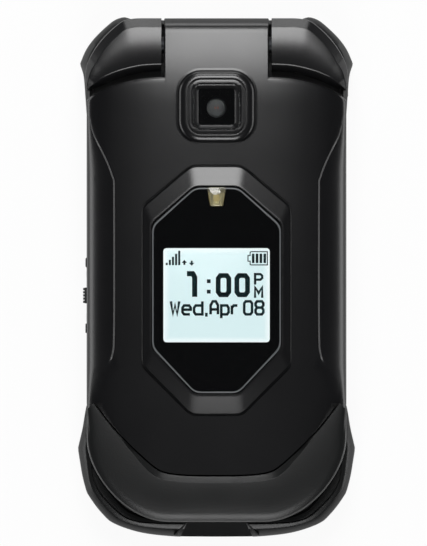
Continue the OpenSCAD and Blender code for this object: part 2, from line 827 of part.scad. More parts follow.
// Flutes along the lid's sides: the ridge runs in from the edge and out again
flute_marks = [[lid_half + 1, win_y + 37.5], [lid_half - 1.3, win_y + 34.5], [lid_half - 2.2, win_y + 31.9],
               [flute_x + 1.6, win_y + 27.4], [flute_x + 0.3, win_y + 23.7], [flute_x, win_y + 20.5],
               [flute_x, win_y - 8], [flute_x + 0.4, win_y - 13.8], [flute_x + 1.4, win_y - 16.2],
               [lid_half - 2.5, win_y - 20.6], [lid_half - 1.4, win_y - 22.4], [lid_half + 1, win_y - 25]];
flute_slope = 2.3;
function flute_ring(m) =
    [[half_w + 3, m[1], face_z - flute_depth - 0.2], [m[0] + flute_slope, m[1], face_z - flute_depth],
     [m[0], m[1], face_z - 0.15], [m[0] - 0.2, m[1], face_z + 1], [half_w + 3, m[1], face_z + 1]];

// Inside of the lid shell: the lower part is wide, the upper part stays clear of the flutes
lid_wall = 1.6;
function lid_inside(d) =
    let (in = lid_wall + d)
    mirrored(concat([for (t = [0:0.15:0.9]) chin_upper(t) + in * [-t, 1.1]],
                    [[lid_half - in, horn[1] + 4]],
                    bend([lid_half - in, lid_end_y - 4.9], [lid_half - 2.5 - in, lid_end_y - 2.4 - in],
                         [18, lid_end_y - in], [11, lid_end_y - in], 6)));
upper_half = flute_x - 1.4;
step_z = shell_z + 3;

module lid_shell() {
    color("#29292b")
    difference() {
        union() {
            skin(concat([at(lid_line(0), shell_z), at(lid_line(0), face_z - lid_round)],
                        [for (d = [0.5, 1.2, 2.2, 3.5, 5]) at(lid_line(d), rim_z(d))]));
            centre_section();
        }
        prism(lid_inside(0), shell_z - 1, step_z);
        prism([for (p = lid_inside(0)) [max(-upper_half, min(upper_half, p[0])), p[1]]], step_z - 1, ceiling_z);
        both_sides()
            skin([for (i = [len(flute_marks) - 1:-1:0]) flute_ring(flute_marks[i])]);
        // Seat of the chin bumper
        prism(concat([for (i = [-12:12]) chin_edge(i / 12)],
                     [[half_w + 4, horn[1] - 1.6], [half_w + 4, bottom_y - 4], [-half_w - 4, bottom_y - 4],
                      [-half_w - 4, horn[1] - 1.6]]), shell_z - 1, face_z + 1);
        // Openings behind the outer window and the camera window
        prism(win_line(-1.3, -1.3), ceiling_z - 1, face_z + 1);
        translate([0, cam_y, 0])
            prism(soft_box(camera_glass - 0.9, camera_glass - 0.9, 1), ceiling_z - 1, face_z + 1);
        on_axis(module_r + fit, -barrel_half - 1, 1);
        on_axis(pin_r + pin_clear, 0, barrel_half + 1);
    }
}

// A point on the chin's upper edge, left of the middle for t below 0
function chin_edge(t) = let (p = chin_upper(abs(t))) [t < 0 ? -p[0] : p[0], p[1]];

// The middle part of the lid that turns on the hinge between the shoulders
module centre_section() {
    y0 = lid_end_y - 6;
    along_x([[y0, shell_z], [hinge_y - barrel_r * 0.86, shell_z], [hinge_y - barrel_r * 0.8, hinge_z],
             [base_top_y, hinge_z - 1], [base_top_y, face_z - centre_bevel],
             [base_top_y - centre_bevel, face_z], [y0, face_z]],
            -barrel_half, barrel_half);
    on_axis(barrel_r, -barrel_half, barrel_half);
}

// One ring across the chin bumper, from the lid's edge to its upper chamfer
chin_gap = 0.22;
function chin_ring(t) =
    let (upper = chin_edge(t), o = chin_outer(abs(t)), outer = [t < 0 ? -o[0] : o[0], o[1]],
         run = norm(outer - upper), u = (outer - upper) / run, a = upper + u * chin_gap,
         band = a + u * min(chin_band, run * 0.3), brow = outer - u * min(3.6, run * 0.45),
         rim = outer - u * min(0.9, run * 0.2), top = face_z + chin_proud)
    [[outer[0], outer[1], shell_z + fit], [a[0], a[1], shell_z + fit], [a[0], a[1], face_z - 0.1],
     [band[0], band[1], top], [brow[0], brow[1], top - 0.7], [rim[0], rim[1], face_z - 1.7],
     [outer[0], outer[1], face_z - lid_round - 0.6]];

module chin_bumper() {
    marks = [0, 0.1, 0.2, 0.3, 0.4, 0.5, 0.6, 0.7, 0.8, 0.9, 0.97];
    last = len(marks) - 1;
    color("#3d3d3e")
        skin(concat([for (i = [last:-1:1]) chin_ring(-marks[i])], [for (m = marks) chin_ring(m)]));
}

module lid_inner_bezel() {
    color("#202022")
    difference() {
        prism(lid_line(0.25), lid_z, shell_z - fit);
        translate([0, screen_y, 0]) {
            prism(soft_box(screen_w + 0.3, screen_len + 0.3, 2.2), lid_z - 1, lid_z + glass_t + 2 * fit);
            prism(soft_box(screen_w - 3.4, screen_len - 3.4, 1), lid_z - 1, shell_z + 1);
        }
        block([-4.5, ear_y - 0.6, lid_z - 1], [4.5, ear_y + 0.6, shell_z + 1]);
    }
}

screen_low = lid_bottom_y + screen_foot;
screen_high = lid_end_y - screen_head;
screen_w = 2 * (lid_half - screen_edge);
screen_len = screen_high - screen_low;
screen_y = (screen_low + screen_high) / 2;
ear_y = screen_high + 3.4;
screen_t = 1.3;
frame_z = shell_z + screen_t + 2 * fit;
frame_t = 0.5;
lid_board_z = frame_z + frame_t + fit;

module main_window() {
    color("#0b0c0e")
        translate([0, screen_y, 0])
            prism(soft_box(screen_w, screen_len, 2), lid_z + fit, lid_z + fit + glass_t);
}

module main_display() {
    color("#15181c")
        translate([0, screen_y, 0])
            prism(soft_box(screen_w, screen_len, 1), shell_z + fit, shell_z + fit + screen_t);
}

module earpiece() {
    color("#4a4c50")
        translate([0, ear_y, 0])
            prism(soft_box(12, 4.4, 1.6), shell_z + fit, frame_z - fit);
}

module lid_frame() {
    color("#a5a8ac")
        prism(lid_inside(0.3), frame_z, frame_z + frame_t);
}

module lid_board() {
    low = screen_low + 10;
    high = lid_end_y - 2.9;
    color("#1f5d3a")
        translate([0, (low + high) / 2, 0])
            prism(soft_box(screen_w - 5, high - low, 2), lid_board_z, lid_board_z + board_t);
}

module lid_pads() {
    color("#28282a")
    both_sides() {
        translate([half_w - 12.7, bottom_y + 7.6, base_h + fit])
            cylinder(r = 1.1, h = lid_gap - fit);
        translate([half_w - 8.7, inner_end_y - 1.6, base_h + fit])
            cylinder(r = 1.1, h = lid_gap - fit);
    }
}

module display_bezel() {
    color("#303032")
    difference() {
        skin([at(win_line(bezel_side, bezel_end), face_z + fit),
              at(win_line(bezel_side - 0.1, bezel_end - 0.2), face_z + 0.3),
              at(win_line(0.5, 0.6), proud_z - 0.12), at(win_line(0.2, 0.2), proud_z)]);
        prism(win_line(0, 0), face_z - 1, proud_z + 1);
    }
}

module outer_window() {
    color("#08090a")
    difference() {
        prism(win_line(-0.25, -0.25), glass_z, glass_z + glass_t);
        prism(torch_line(0.1, 1), face_z - 1, proud_z);
    }
}

lcd_y = win_y - 1.03;
module outer_display() {
    color("#dff3f5")
        translate([0, lcd_y, 0])
            prism(soft_box(lcd_w + 1.2, lcd_len + 1.4, 0.6), glass_z - 1.7, glass_z - fit);
}

module torch_lens() {
    color("#e6dfc0")
        prism(torch_line(0, -0.55), glass_z, glass_z + glass_t + 0.25);
}

module torch_led() {
    color("#e8d36a")
        translate([-0.9, torch_top_y - 3.9, glass_z - 1.1])
            cube([1.8, 1.8, 1.05]);
}

module camera_bezel() {
    low = camera_w - 0.8;
    color("#2b2b2d")
    translate([0, cam_y, 0])
        difference() {
            skin([at(soft_box(camera_w, low, 5), face_z + fit),
                  at(soft_box(camera_w - 0.5, low - 0.5, 4.8), face_z + 0.5),
                  at(soft_box(camera_w - 1.6, low - 1.6, 4.2), proud_z - 0.35),
                  at(soft_box(camera_w - 3.4, low - 2.9, 3.2), proud_z)]);
            prism(soft_box(camera_glass + 0.2, camera_glass + 0.2, 1.5), face_z - 1, proud_z + 1);
            difference() {
                prism(soft_box(camera_glass + 2.7, camera_glass + 2.7, 2.6), proud_z - 0.3, proud_z + 1);
                prism(soft_box(camera_glass + 2.3, camera_glass + 2.3, 2.4), face_z, proud_z + 2);
            }
        }
}

module camera_window() {
    color("#0a0b0c")
        translate([0, cam_y, 0])
            prism(soft_box(camera_glass, camera_glass, 1.4), glass_z, glass_z + glass_t);
}

module camera_module() {
    color("#3b3d40")
    translate([0, cam_y, 0]) {
        prism(soft_box(8.2, 8.2, 0.8), lid_board_z + board_t + fit, face_z - 1);
        translate([0, 0, face_z - 1])
            cylinder(r = 3.1, h = 0.95);
    }
}

module hinge_module() {
    color("#b0b3b7") {
        on_axis(module_r, -barrel_half + 0.2, 0.8);
        on_axis(pin_r, -shoulder_x - 6.3, 0.8 - barrel_half);
    }
}

/* ---- What is drawn ---- */

rear_casing();
keypad_deck();
shoulder_left();
shoulder_right();
corner_bumper_left();
corner_bumper_right();
bottom_bumper();
battery_cover();
battery_seal();
battery();
main_board();
dome_sheet();
loudspeaker();
usb_socket();
headset_socket();
case_screws();
hinge_pin();
cover_lock();
usb_cover();
headset_cover();
volume_up_key();
speaker_key();
volume_down_key();
for (i = [0:11])
    number_key(i);
soft_key(-1);  // soft_left_key
soft_key(1);  // soft_right_key
call_key(0, "#1f6b3a");  // send_key
call_key(1, "#2a2a2c");  // clear_key
call_key(2, "#8c2420");  // end_key
nav_ring();
ok_key();
lid_shell();
chin_bumper();
lid_inner_bezel();
display_bezel();
outer_window();
outer_display();
torch_lens();
torch_led();
camera_bezel();
camera_window();
camera_module();
main_window();
main_display();
lid_frame();
lid_board();
earpiece();
lid_pads();
hinge_module();
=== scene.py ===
"""Rugged folding phone on a studio table: finishes, fine meshes, light and camera.

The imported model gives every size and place. Lengths in this file are millimetres in the phone's
own frame: +X is the right side, +Y points to the hinge and +Z comes out of the lid.
"""
import json
import logging
import math
from dataclasses import dataclass, field
from enum import Enum
from typing import Iterable, Optional, Sequence

import bmesh
import bpy
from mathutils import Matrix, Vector


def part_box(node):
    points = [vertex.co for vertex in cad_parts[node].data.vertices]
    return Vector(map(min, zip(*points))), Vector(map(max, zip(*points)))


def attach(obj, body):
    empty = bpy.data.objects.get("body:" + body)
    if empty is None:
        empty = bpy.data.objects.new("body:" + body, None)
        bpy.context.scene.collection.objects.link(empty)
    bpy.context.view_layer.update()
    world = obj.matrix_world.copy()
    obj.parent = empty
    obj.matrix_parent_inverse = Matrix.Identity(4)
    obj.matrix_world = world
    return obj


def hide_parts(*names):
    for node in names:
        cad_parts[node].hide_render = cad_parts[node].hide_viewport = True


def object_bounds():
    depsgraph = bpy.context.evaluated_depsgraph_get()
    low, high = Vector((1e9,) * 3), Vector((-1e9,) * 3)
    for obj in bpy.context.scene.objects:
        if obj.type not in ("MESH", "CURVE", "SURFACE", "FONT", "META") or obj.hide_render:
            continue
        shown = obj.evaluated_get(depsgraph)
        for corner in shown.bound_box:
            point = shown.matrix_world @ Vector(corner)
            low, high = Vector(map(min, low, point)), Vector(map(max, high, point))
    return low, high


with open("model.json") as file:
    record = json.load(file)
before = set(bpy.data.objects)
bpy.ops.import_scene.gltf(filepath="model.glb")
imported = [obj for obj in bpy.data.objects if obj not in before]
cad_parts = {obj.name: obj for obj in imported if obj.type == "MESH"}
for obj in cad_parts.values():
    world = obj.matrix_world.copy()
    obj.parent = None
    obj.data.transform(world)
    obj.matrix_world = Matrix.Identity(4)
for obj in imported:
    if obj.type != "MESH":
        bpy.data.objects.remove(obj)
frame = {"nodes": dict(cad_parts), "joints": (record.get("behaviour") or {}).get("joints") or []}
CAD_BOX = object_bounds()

MM = 0.001
LOG = logging.getLogger("phone")

Flat = tuple[float, float]
Spot = tuple[float, float, float]
Faces = list[tuple[int, ...]]


# Points nearer than this are one point, and faces thinner than the second length are none
WELD = 0.002
SLIVER = 0.0005
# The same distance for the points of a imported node
NODE_WELD = 0.001
# Half thickness of printed ink
INK_THICK = 0.008
# Degrees: a bevel runs where faces meet at more than the first, and faces that differ by less than the
# second are joined
BEVEL_ANGLE = 28.0
FLAT_ANGLE = 0.5


class Body(Enum):
    """The two large bodies that fixed pieces ride on."""

    BASE = "base"
    LID = "lid"


class Side(Enum):
    """The phone's left or right side, by the sign of X."""

    LEFT = -1
    RIGHT = 1

    @property
    def word(self) -> str:
        """Name of the side in the names of pieces and nodes."""
        return self.name.lower()

    def turned(self, spots: Iterable[Spot]) -> list[Spot]:
        """Gives points of the right side as they stand on this one."""
        return [(self.value * x, y, z) for x, y, z in spots]


class Grain(Enum):
    """How a moulded surface is broken up."""

    SPARK = "spark"
    PEBBLE = "pebble"


# ---- Colour and materials ----


def linear(code: str) -> tuple[float, float, float, float]:
    """Turns an sRGB hex colour into the linear colour that a shader takes.

    Args:
        code: Colour such as "#1c1c1e".

    Returns:
        Red, green, blue and an alpha of 1.
    """
    parts = [int(code[i:i + 2], 16) / 255 for i in (1, 3, 5)]
    red, green, blue = [c / 12.92 if c <= 0.04045 else ((c + 0.055) / 1.055) ** 2.4 for c in parts]
    return red, green, blue, 1.0


def add_node(tree: bpy.types.NodeTree, kind: str, settings: Optional[dict] = None,
             inputs: Optional[dict] = None) -> bpy.types.Node:
    """Adds one shader node, sets it and links it.

    Args:
        tree: Node tree that gets the node.
        kind: Blender's type name of the node.
        settings: Values of the node's own properties.
        inputs: Values or output sockets for its inputs, by name or index.

    Returns:
        The new node.
    """
    node = tree.nodes.new(kind)
    for key, value in (settings or {}).items():
        setattr(node, key, value)
    for key, value in (inputs or {}).items():
        if isinstance(value, bpy.types.NodeSocket):
            tree.links.new(value, node.inputs[key])
        else:
            node.inputs[key].default_value = value
    return node


def per_metre(size_mm: float) -> float:
    """Gives the texture scale at which one cell of a pattern is size_mm wide."""
    return 1 / (size_mm * MM)


def started(name: str) -> tuple[bpy.types.Material, bpy.types.NodeTree, bpy.types.NodeSocket]:
    """Starts a material with an empty node tree.

    Args:
        name: Name of the material.

    Returns:
        The material, its tree and the place on the object by which patterns are laid.
    """
    made = bpy.data.materials.new(name)
    made.use_nodes = True
    made.node_tree.nodes.clear()
    return made, made.node_tree, add_node(made.node_tree, "ShaderNodeTexCoord").outputs["Object"]


@dataclass(frozen=True)
class Moulded:
    """An opaque moulded or cast finish with a fine surface grain.

    The grain is a bump of real width in millimetres, and the tone drifts slightly over the piece,
    as it does on parts that were handled.
    """

    name: str
    colour: str
    worn: str
    roughness: float
    grain_mm: float = 0.35
    grain_depth_mm: float = 0.012
    tone_mm: float = 14.0
    polish: float = 0.08
    specular: float = 0.5
    metallic: float = 0.0
    coat: float = 0.0
    coat_roughness: float = 0.12
    grain: Grain = Grain.SPARK

    def build(self) -> bpy.types.Material:
        """Makes the Blender material.

        Returns:
            The material, with colour drift, roughness drift and grain.
        """
        made = bpy.data.materials.get(self.name)
        if made:
            return made
        made, tree, place = started(self.name)
        drift = add_node(tree, "ShaderNodeTexNoise", inputs={
            "Vector": place, "Scale": per_metre(self.tone_mm), "Detail": 4.0, "Roughness": 0.6})
        tone = add_node(tree, "ShaderNodeMix", {"data_type": "RGBA"}, {
            0: drift.outputs["Fac"], 6: linear(self.colour), 7: linear(self.worn)})
        gloss = add_node(tree, "ShaderNodeMapRange", inputs={
            "Value": drift.outputs["Fac"], "To Min": self.roughness - self.polish,
            "To Max": self.roughness + self.polish})
        if self.grain is Grain.PEBBLE:
            cells = add_node(tree, "ShaderNodeTexVoronoi", {"feature": "SMOOTH_F1"}, {
                "Vector": place, "Scale": per_metre(self.grain_mm), "Smoothness": 0.6})
            height = cells.outputs["Distance"]
        else:
            cells = add_node(tree, "ShaderNodeTexNoise", inputs={
                "Vector": place, "Scale": per_metre(self.grain_mm), "Detail": 2.0})
            height = cells.outputs["Fac"]
        bump = add_node(tree, "ShaderNodeBump", inputs={
            "Height": height, "Strength": 0.6, "Distance": self.grain_depth_mm * MM})
        shader = add_node(tree, "ShaderNodeBsdfPrincipled", inputs={
            "Base Color": tone.outputs[2], "Roughness": gloss.outputs["Result"],
            "Normal": bump.outputs["Normal"], "Metallic": self.metallic,
            "Coat Weight": self.coat, "Coat Roughness": self.coat_roughness})
        if self.metallic < 0.5:
            shader.inputs["Specular IOR Level"].default_value = self.specular
        add_node(tree, "ShaderNodeOutputMaterial", inputs={"Surface": shader.outputs[0]})
        return made


@dataclass(frozen=True)
class Clear:
    """A clear moulded or ground window, tinted a little in its body."""

    name: str
    tint: str
    roughness: float
    ior: float
    clearness: float = 1.0

    def build(self) -> bpy.types.Material:
        """Makes the Blender material.

        Returns:
            The material, clear with a faint handling haze in its polish.
        """
        made = bpy.data.materials.get(self.name)
        if made:
            return made
        made, tree, place = started(self.name)
        haze = add_node(tree, "ShaderNodeTexNoise", inputs={
            "Vector": place, "Scale": per_metre(6.0), "Detail": 3.0})
        polish = add_node(tree, "ShaderNodeMapRange", inputs={
            "Value": haze.outputs["Fac"], "To Min": self.roughness * 0.5, "To Max": self.roughness * 1.5})
        shader = add_node(tree, "ShaderNodeBsdfPrincipled", inputs={
            "Base Color": linear(self.tint), "Roughness": polish.outputs["Result"],
            "Transmission Weight": self.clearness, "IOR": self.ior})
        add_node(tree, "ShaderNodeOutputMaterial", inputs={"Surface": shader.outputs[0]})
        return made


@dataclass(frozen=True)
class Glowing:
    """A surface that gives off light, brighter towards its rim: the backlit display, and the torch diode,
    whose glow is painted light.
    """

    name: str
    middle: str
    rim: str
    half: Spot
    centre: Spot
    strength: float
    roughness: float = 0.4
    unlit: str = "#0c1012"

    def build(self) -> bpy.types.Material:
        """Makes the Blender material.

        Returns:
            The material, whose light changes evenly from its middle to its rim.
        """
        made, tree, place = started(self.name)
        moved = add_node(tree, "ShaderNodeVectorMath", {"operation": "SUBTRACT"}, {
            0: place, 1: [c * MM for c in self.centre]})
        scaled = add_node(tree, "ShaderNodeVectorMath", {"operation": "DIVIDE"}, {
            0: moved.outputs[0], 1: [h * MM for h in self.half]})
        bent = add_node(tree, "ShaderNodeVectorMath", {"operation": "ABSOLUTE"}, {0: scaled.outputs[0]})
        split = add_node(tree, "ShaderNodeSeparateXYZ", inputs={0: bent.outputs[0]})
        edge = add_node(tree, "ShaderNodeMath", {"operation": "MAXIMUM"}, {
            0: split.outputs[0], 1: split.outputs[1]})
        near = add_node(tree, "ShaderNodeMapRange", {"interpolation_type": "SMOOTHSTEP"}, {
            "Value": edge.outputs[0], "From Min": 0.86, "From Max": 1.0})
        glow = add_node(tree, "ShaderNodeMix", {"data_type": "RGBA"}, {
            0: near.outputs["Result"], 6: linear(self.middle), 7: linear(self.rim)})
        shader = add_node(tree, "ShaderNodeBsdfPrincipled", inputs={
            "Base Color": linear(self.unlit), "Roughness": self.roughness,
            "Emission Color": glow.outputs[2], "Emission Strength": self.strength})
        add_node(tree, "ShaderNodeOutputMaterial", inputs={"Surface": shader.outputs[0]})
        return made


# Soft-touch painted polycarbonate: near black, and its satin film draws the lights as soft bands
LID_BLACK = Moulded("soft_touch_polycarbonate", "#0c0c0d", "#0f0f10", 0.235, 0.24, 0.004,
                    polish=0.02, specular=0.45)
# Moulded polycarbonate with a fine spark texture, a little glossier than the painted lid
CASE_BLACK = Moulded("spark_textured_polycarbonate", "#131314", "#171718", 0.42, 0.3, 0.01,
                     polish=0.04, specular=0.42)
# Thermoplastic elastomer bumpers: charcoal, pebbled so that hands grip them
BUMPER = Moulded("pebbled_elastomer", "#0d0e0e", "#101111", 0.36, 0.34, 0.02,
                 polish=0.04, specular=0.34, grain=Grain.PEBBLE)
# The same elastomer on the small covers and side keys, moulded smoother
COVER = Moulded("smooth_elastomer", "#1d1e1e", "#232424", 0.58, 0.3, 0.01, specular=0.4)
# Keycaps: moulded polycarbonate with a satin film
KEYCAP = Moulded("satin_keycap", "#1c1c1e", "#212124", 0.42, 0.3, 0.006, coat=0.1)
KEY_GREEN = Moulded("satin_keycap_green", "#1d7a3c", "#238644", 0.42, 0.3, 0.006, coat=0.1)
KEY_RED = Moulded("satin_keycap_red", "#a0231d", "#aa2b22", 0.42, 0.3, 0.006, coat=0.1)
# Ring of the four-way key: painted to look like dull steel
RING_GREY = Moulded("painted_ring", "#56585c", "#5d5f64", 0.36, 0.25, 0.004, coat=0.15)
# Legends: silk-screened ink, pale and flat
INK_PALE = Moulded("screened_ink", "#d9dcdd", "#cfd2d4", 0.6, 0.2, 0.002)
# Black ink behind the windows: seen through the glass, almost without shine
INK_BLACK = Moulded("window_ink", "#010101", "#020202", 0.6, 0.3, 0.001, specular=0.0)
# Liquid crystal where it is switched dark: flat and a little green
CRYSTAL_MARK = Moulded("liquid_crystal_mark", "#061f22", "#0b3337", 0.6, 0.3, 0.001, specular=0.1)
# Pale grey band round the outer window's glass: a painted highlight, standing for the thin line of light that
# its bevelled edge catches
EDGE_HIGHLIGHT_PAINT = Moulded("ground_glass_edge", "#5b5e60", "#6a6d6f", 0.4, 0.2, 0.003)
# Turned zinc of the cover lock
LOCK_ZINC = Moulded("turned_zinc", "#7d8083", "#888b8e", 0.34, 0.3, 0.004, metallic=1.0)
# Rolled and nickel-plated steel of screws, sheets and sockets
STEEL = Moulded("rolled_steel", "#a9acae", "#b4b7b9", 0.3, 0.3, 0.003, metallic=1.0)
# The same steel blackened in an oxide bath, for the hinge between lid and base
STEEL_DARK = Moulded("blackened_steel", "#2b2c2e", "#323335", 0.42, 0.3, 0.003, metallic=1.0)
# Silicone seal, moulded and slightly tacky
SEAL_RED = Moulded("silicone_seal", "#a8402c", "#b04a35", 0.5, 0.4, 0.004)
# Shrink film of the battery: printed dark grey, satin
FILM_GREY = Moulded("battery_film", "#47494d", "#4f5155", 0.4, 0.5, 0.003, coat=0.2)
# Solder mask over glass-fibre board
BOARD_GREEN = Moulded("solder_mask", "#14542e", "#1a5f36", 0.35, 0.6, 0.006, coat=0.3)
# Nylon and liquid-crystal polymer of the sockets and sounders
NYLON_GREY = Moulded("filled_nylon", "#34363a", "#3b3d41", 0.48, 0.4, 0.008)
# Hard-coated acrylic of the windows
CLEAR_ACRYLIC = Clear("hard_coated_acrylic", "#f4f7f7", 0.02, 1.46)
# Torch lens: ribbed inside, so that it is milky where the light spreads
LENS_ACRYLIC = Clear("torch_acrylic", "#cdc6a4", 0.1, 1.49, 0.82)
# Front element of the camera: an even grey that paints the studio's reflection in its coated glass
LENS_PAINTED_REFLECTION = Moulded("coated_lens", "#3c3d3e", "#454647", 0.5, 0.4, 0.001)
# Two dull red dots on the camera lens: painted glints, standing for the lights mirrored in its coated
# elements
LENS_GLINT_PAINT = Moulded("lens_coating", "#7a3a2a", "#8a4a33", 0.25, 0.4, 0.001)
# Dark acrylic of the large inner window: the screen behind it is off
DARK_ACRYLIC = Moulded("dark_acrylic", "#050607", "#06070a", 0.07, 0.8, 0.0005, polish=0.02)


# ---- Outlines and meshes ----


def bend(a: Flat, b: Flat, c: Flat, d: Flat, count: int) -> list[Flat]:
    """Draws a smooth curve from a to d that leaves towards b and arrives from c.

    Args:
        a: First point.
        b: First handle.
        c: Second handle.
        d: Last point.
        count: How many steps the curve has.

    Returns:
        count + 1 points.
    """
    curve = []
    for i in range(count + 1):
        t = i / count
        weights = ((1 - t) ** 3, 3 * (1 - t) ** 2 * t, 3 * (1 - t) * t * t, t ** 3)
        curve.append(tuple(sum(w * p[k] for w, p in zip(weights, (a, b, c, d))) for k in (0, 1)))
    return curve


def flowing(points: Sequence[Flat], steps: int) -> list[Flat]:
    """Runs a smooth curve through every point of an open outline.

    Args:
        points: Points that the curve passes.
        steps: How many steps lie between two of them.

    Returns:
        The points of the curve.
    """
    line = [points[0], *points, points[-1]]
    curve = []
    for i in range(1, len(line) - 2):
        p, q, r, s = line[i - 1:i + 3]
        for j in range(steps):
            t = j / steps
            curve.append(tuple(
                0.5 * (2 * q[k] + (r[k] - p[k]) * t + (2 * p[k] - 5 * q[k] + 4 * r[k] - s[k]) * t * t
                       + (3 * q[k] - p[k] - 3 * r[k] + s[k]) * t ** 3) for k in (0, 1)))
    return curve + [tuple(points[-1])]


def spaced(points: Sequence[Flat], count: int) -> list[Flat]:
    """Places count + 1 points at even distances along an open outline."""
    runs = [0.0]
    for a, b in zip(points, points[1:]):
        runs.append(runs[-1] + math.dist(a, b))
    found, k = [], 0
    for i in range(count + 1):
        goal = runs[-1] * i / count
        while k < len(runs) - 2 and runs[k + 1] < goal:
            k += 1
        share = (goal - runs[k]) / max(runs[k + 1] - runs[k], 1e-9)
        a, b = points[k], points[k + 1]
        found.append((a[0] + (b[0] - a[0]) * share, a[1] + (b[1] - a[1]) * share))
    return found


def height_at(points: Sequence[Flat], x: float) -> float:
    """Gives y on an outline that runs along X, at a place x; the ends are held."""
    line = sorted(points)
    if x <= line[0][0]:
        return line[0][1]
    for a, b in zip(line, line[1:]):
        if x <= b[0]:
            return a[1] + (b[1] - a[1]) * (x - a[0]) / max(b[0] - a[0], 1e-9)
    return line[-1][1]


def both_halves(half: Sequence[Flat]) -> list[Flat]:
    """Joins a right half, from its start to its end, with its mirror image into a closed outline."""
    return list(half) + [(-x, y) for x, y in reversed(half)]


def round_box(width: float, length: float, radius: float, steps: int = 8,
              centre: Flat = (0.0, 0.0)) -> list[Flat]:
    """Outlines a rectangle with round corners.

    Args:
        width: Size along X.
        length: Size along Y.
        radius: Radius of the corners.
        steps: Steps in each corner.
        centre: Middle of the rectangle.

    Returns:
        4 * (steps + 1) points, counter-clockwise.
    """
    outline = []
    for quarter, (sx, sy) in enumerate(((1, -1), (1, 1), (-1, 1), (-1, -1))):
        cx, cy = sx * (width / 2 - radius), sy * (length / 2 - radius)
        for i in range(steps + 1):
            angle = math.radians(-90 + 90 * quarter + 90 * i / steps)
            outline.append((centre[0] + cx + radius * math.cos(angle),
                            centre[1] + cy + radius * math.sin(angle)))
    return outline


def softened(corners: Sequence[Flat], size: float, steps: int = 6) -> list[Flat]:
    """Rounds each corner of a closed outline over a length of size on both its sides."""
    outline: list[Flat] = []
    count = len(corners)
    for i, corner in enumerate(corners):
        ends = []
        for other in (corners[i - 1], corners[(i + 1) % count]):
            share = min(0.48, size / math.dist(corner, other))
            ends.append(tuple(c + (o - c) * share for c, o in zip(corner, other)))
        for j in range(steps + 1):
            t = j / steps
            outline.append(tuple((1 - t) ** 2 * ends[0][k] + 2 * t * (1 - t) * corner[k] + t * t * ends[1][k]
                                 for k in (0, 1)))
    return outline


def drawn_in(outline: Sequence[Flat], distance: float) -> list[Flat]:
    """Moves a closed counter-clockwise outline inward.

    Args:
        outline: Points of the outline.
        distance: How far it moves; below 0 it grows.

    Returns:
        As many points as the outline has.
    """
    count = len(outline)
    moved = []
    for i in range(count):
        before, here, after = outline[i - 1], outline[i], outline[(i + 1) % count]
        edges = []
        for a, b in ((before, here), (here, after)):
            run = math.dist(a, b) or 1e-9
            edges.append((-(b[1] - a[1]) / run, (b[0] - a[0]) / run))
        (nx, ny), (mx, my) = edges
        cross = nx * my - ny * mx
        if abs(cross) < 0.05:
            size = math.hypot(nx + mx, ny + my) or 1e-9
            moved.append((here[0] + (nx + mx) / size * distance, here[1] + (ny + my) / size * distance))
        else:
            moved.append((here[0] + distance * (my - ny) / cross, here[1] + distance * (nx - mx) / cross))
    return moved


def lifted(outline: Iterable[Flat], z: float) -> list[Spot]:
    """Puts an outline at a height."""
    return [(x, y, z) for x, y in outline]


def whole(half: list[list[Spot]]) -> list[list[Spot]]:
    """Puts the mirror image of a right half's slices before them, with the middle slice once."""
    return [Side.LEFT.turned(ring) for ring in reversed(half[1:])] + half


@dataclass(frozen=True)
class Rung:
    """A straight line over a rim, from its inner edge to its outer edge."""

    inner: Flat
    outer: Flat

    @property
    def run(self) -> float:
        """Length of the line."""
        return max(math.dist(self.inner, self.outer), 0.05)

    def out(self, reach: float, z: float) -> Spot:
        """Gives the point at a distance from the inner edge, at a height."""
        share = reach / self.run
        (ax, ay), (bx, by) = self.inner, self.outer
        return ax + (bx - ax) * share, ay + (by - ay) * share, z

    def back(self, reach: float, z: float) -> Spot:
        """Gives the point at a distance from the outer edge, at a height."""
        share = reach / self.run
        (ax, ay), (bx, by) = self.inner, self.outer
        return bx - (bx - ax) * share, by - (by - ay) * share, z


def rungs(inner: Sequence[Flat], outer: Sequence[Flat], count: int) -> list[Rung]:
    """Lays count + 1 rungs at even distances between two lines."""
    return [Rung(a, b) for a, b in zip(spaced(inner, count), spaced(outer, count))]


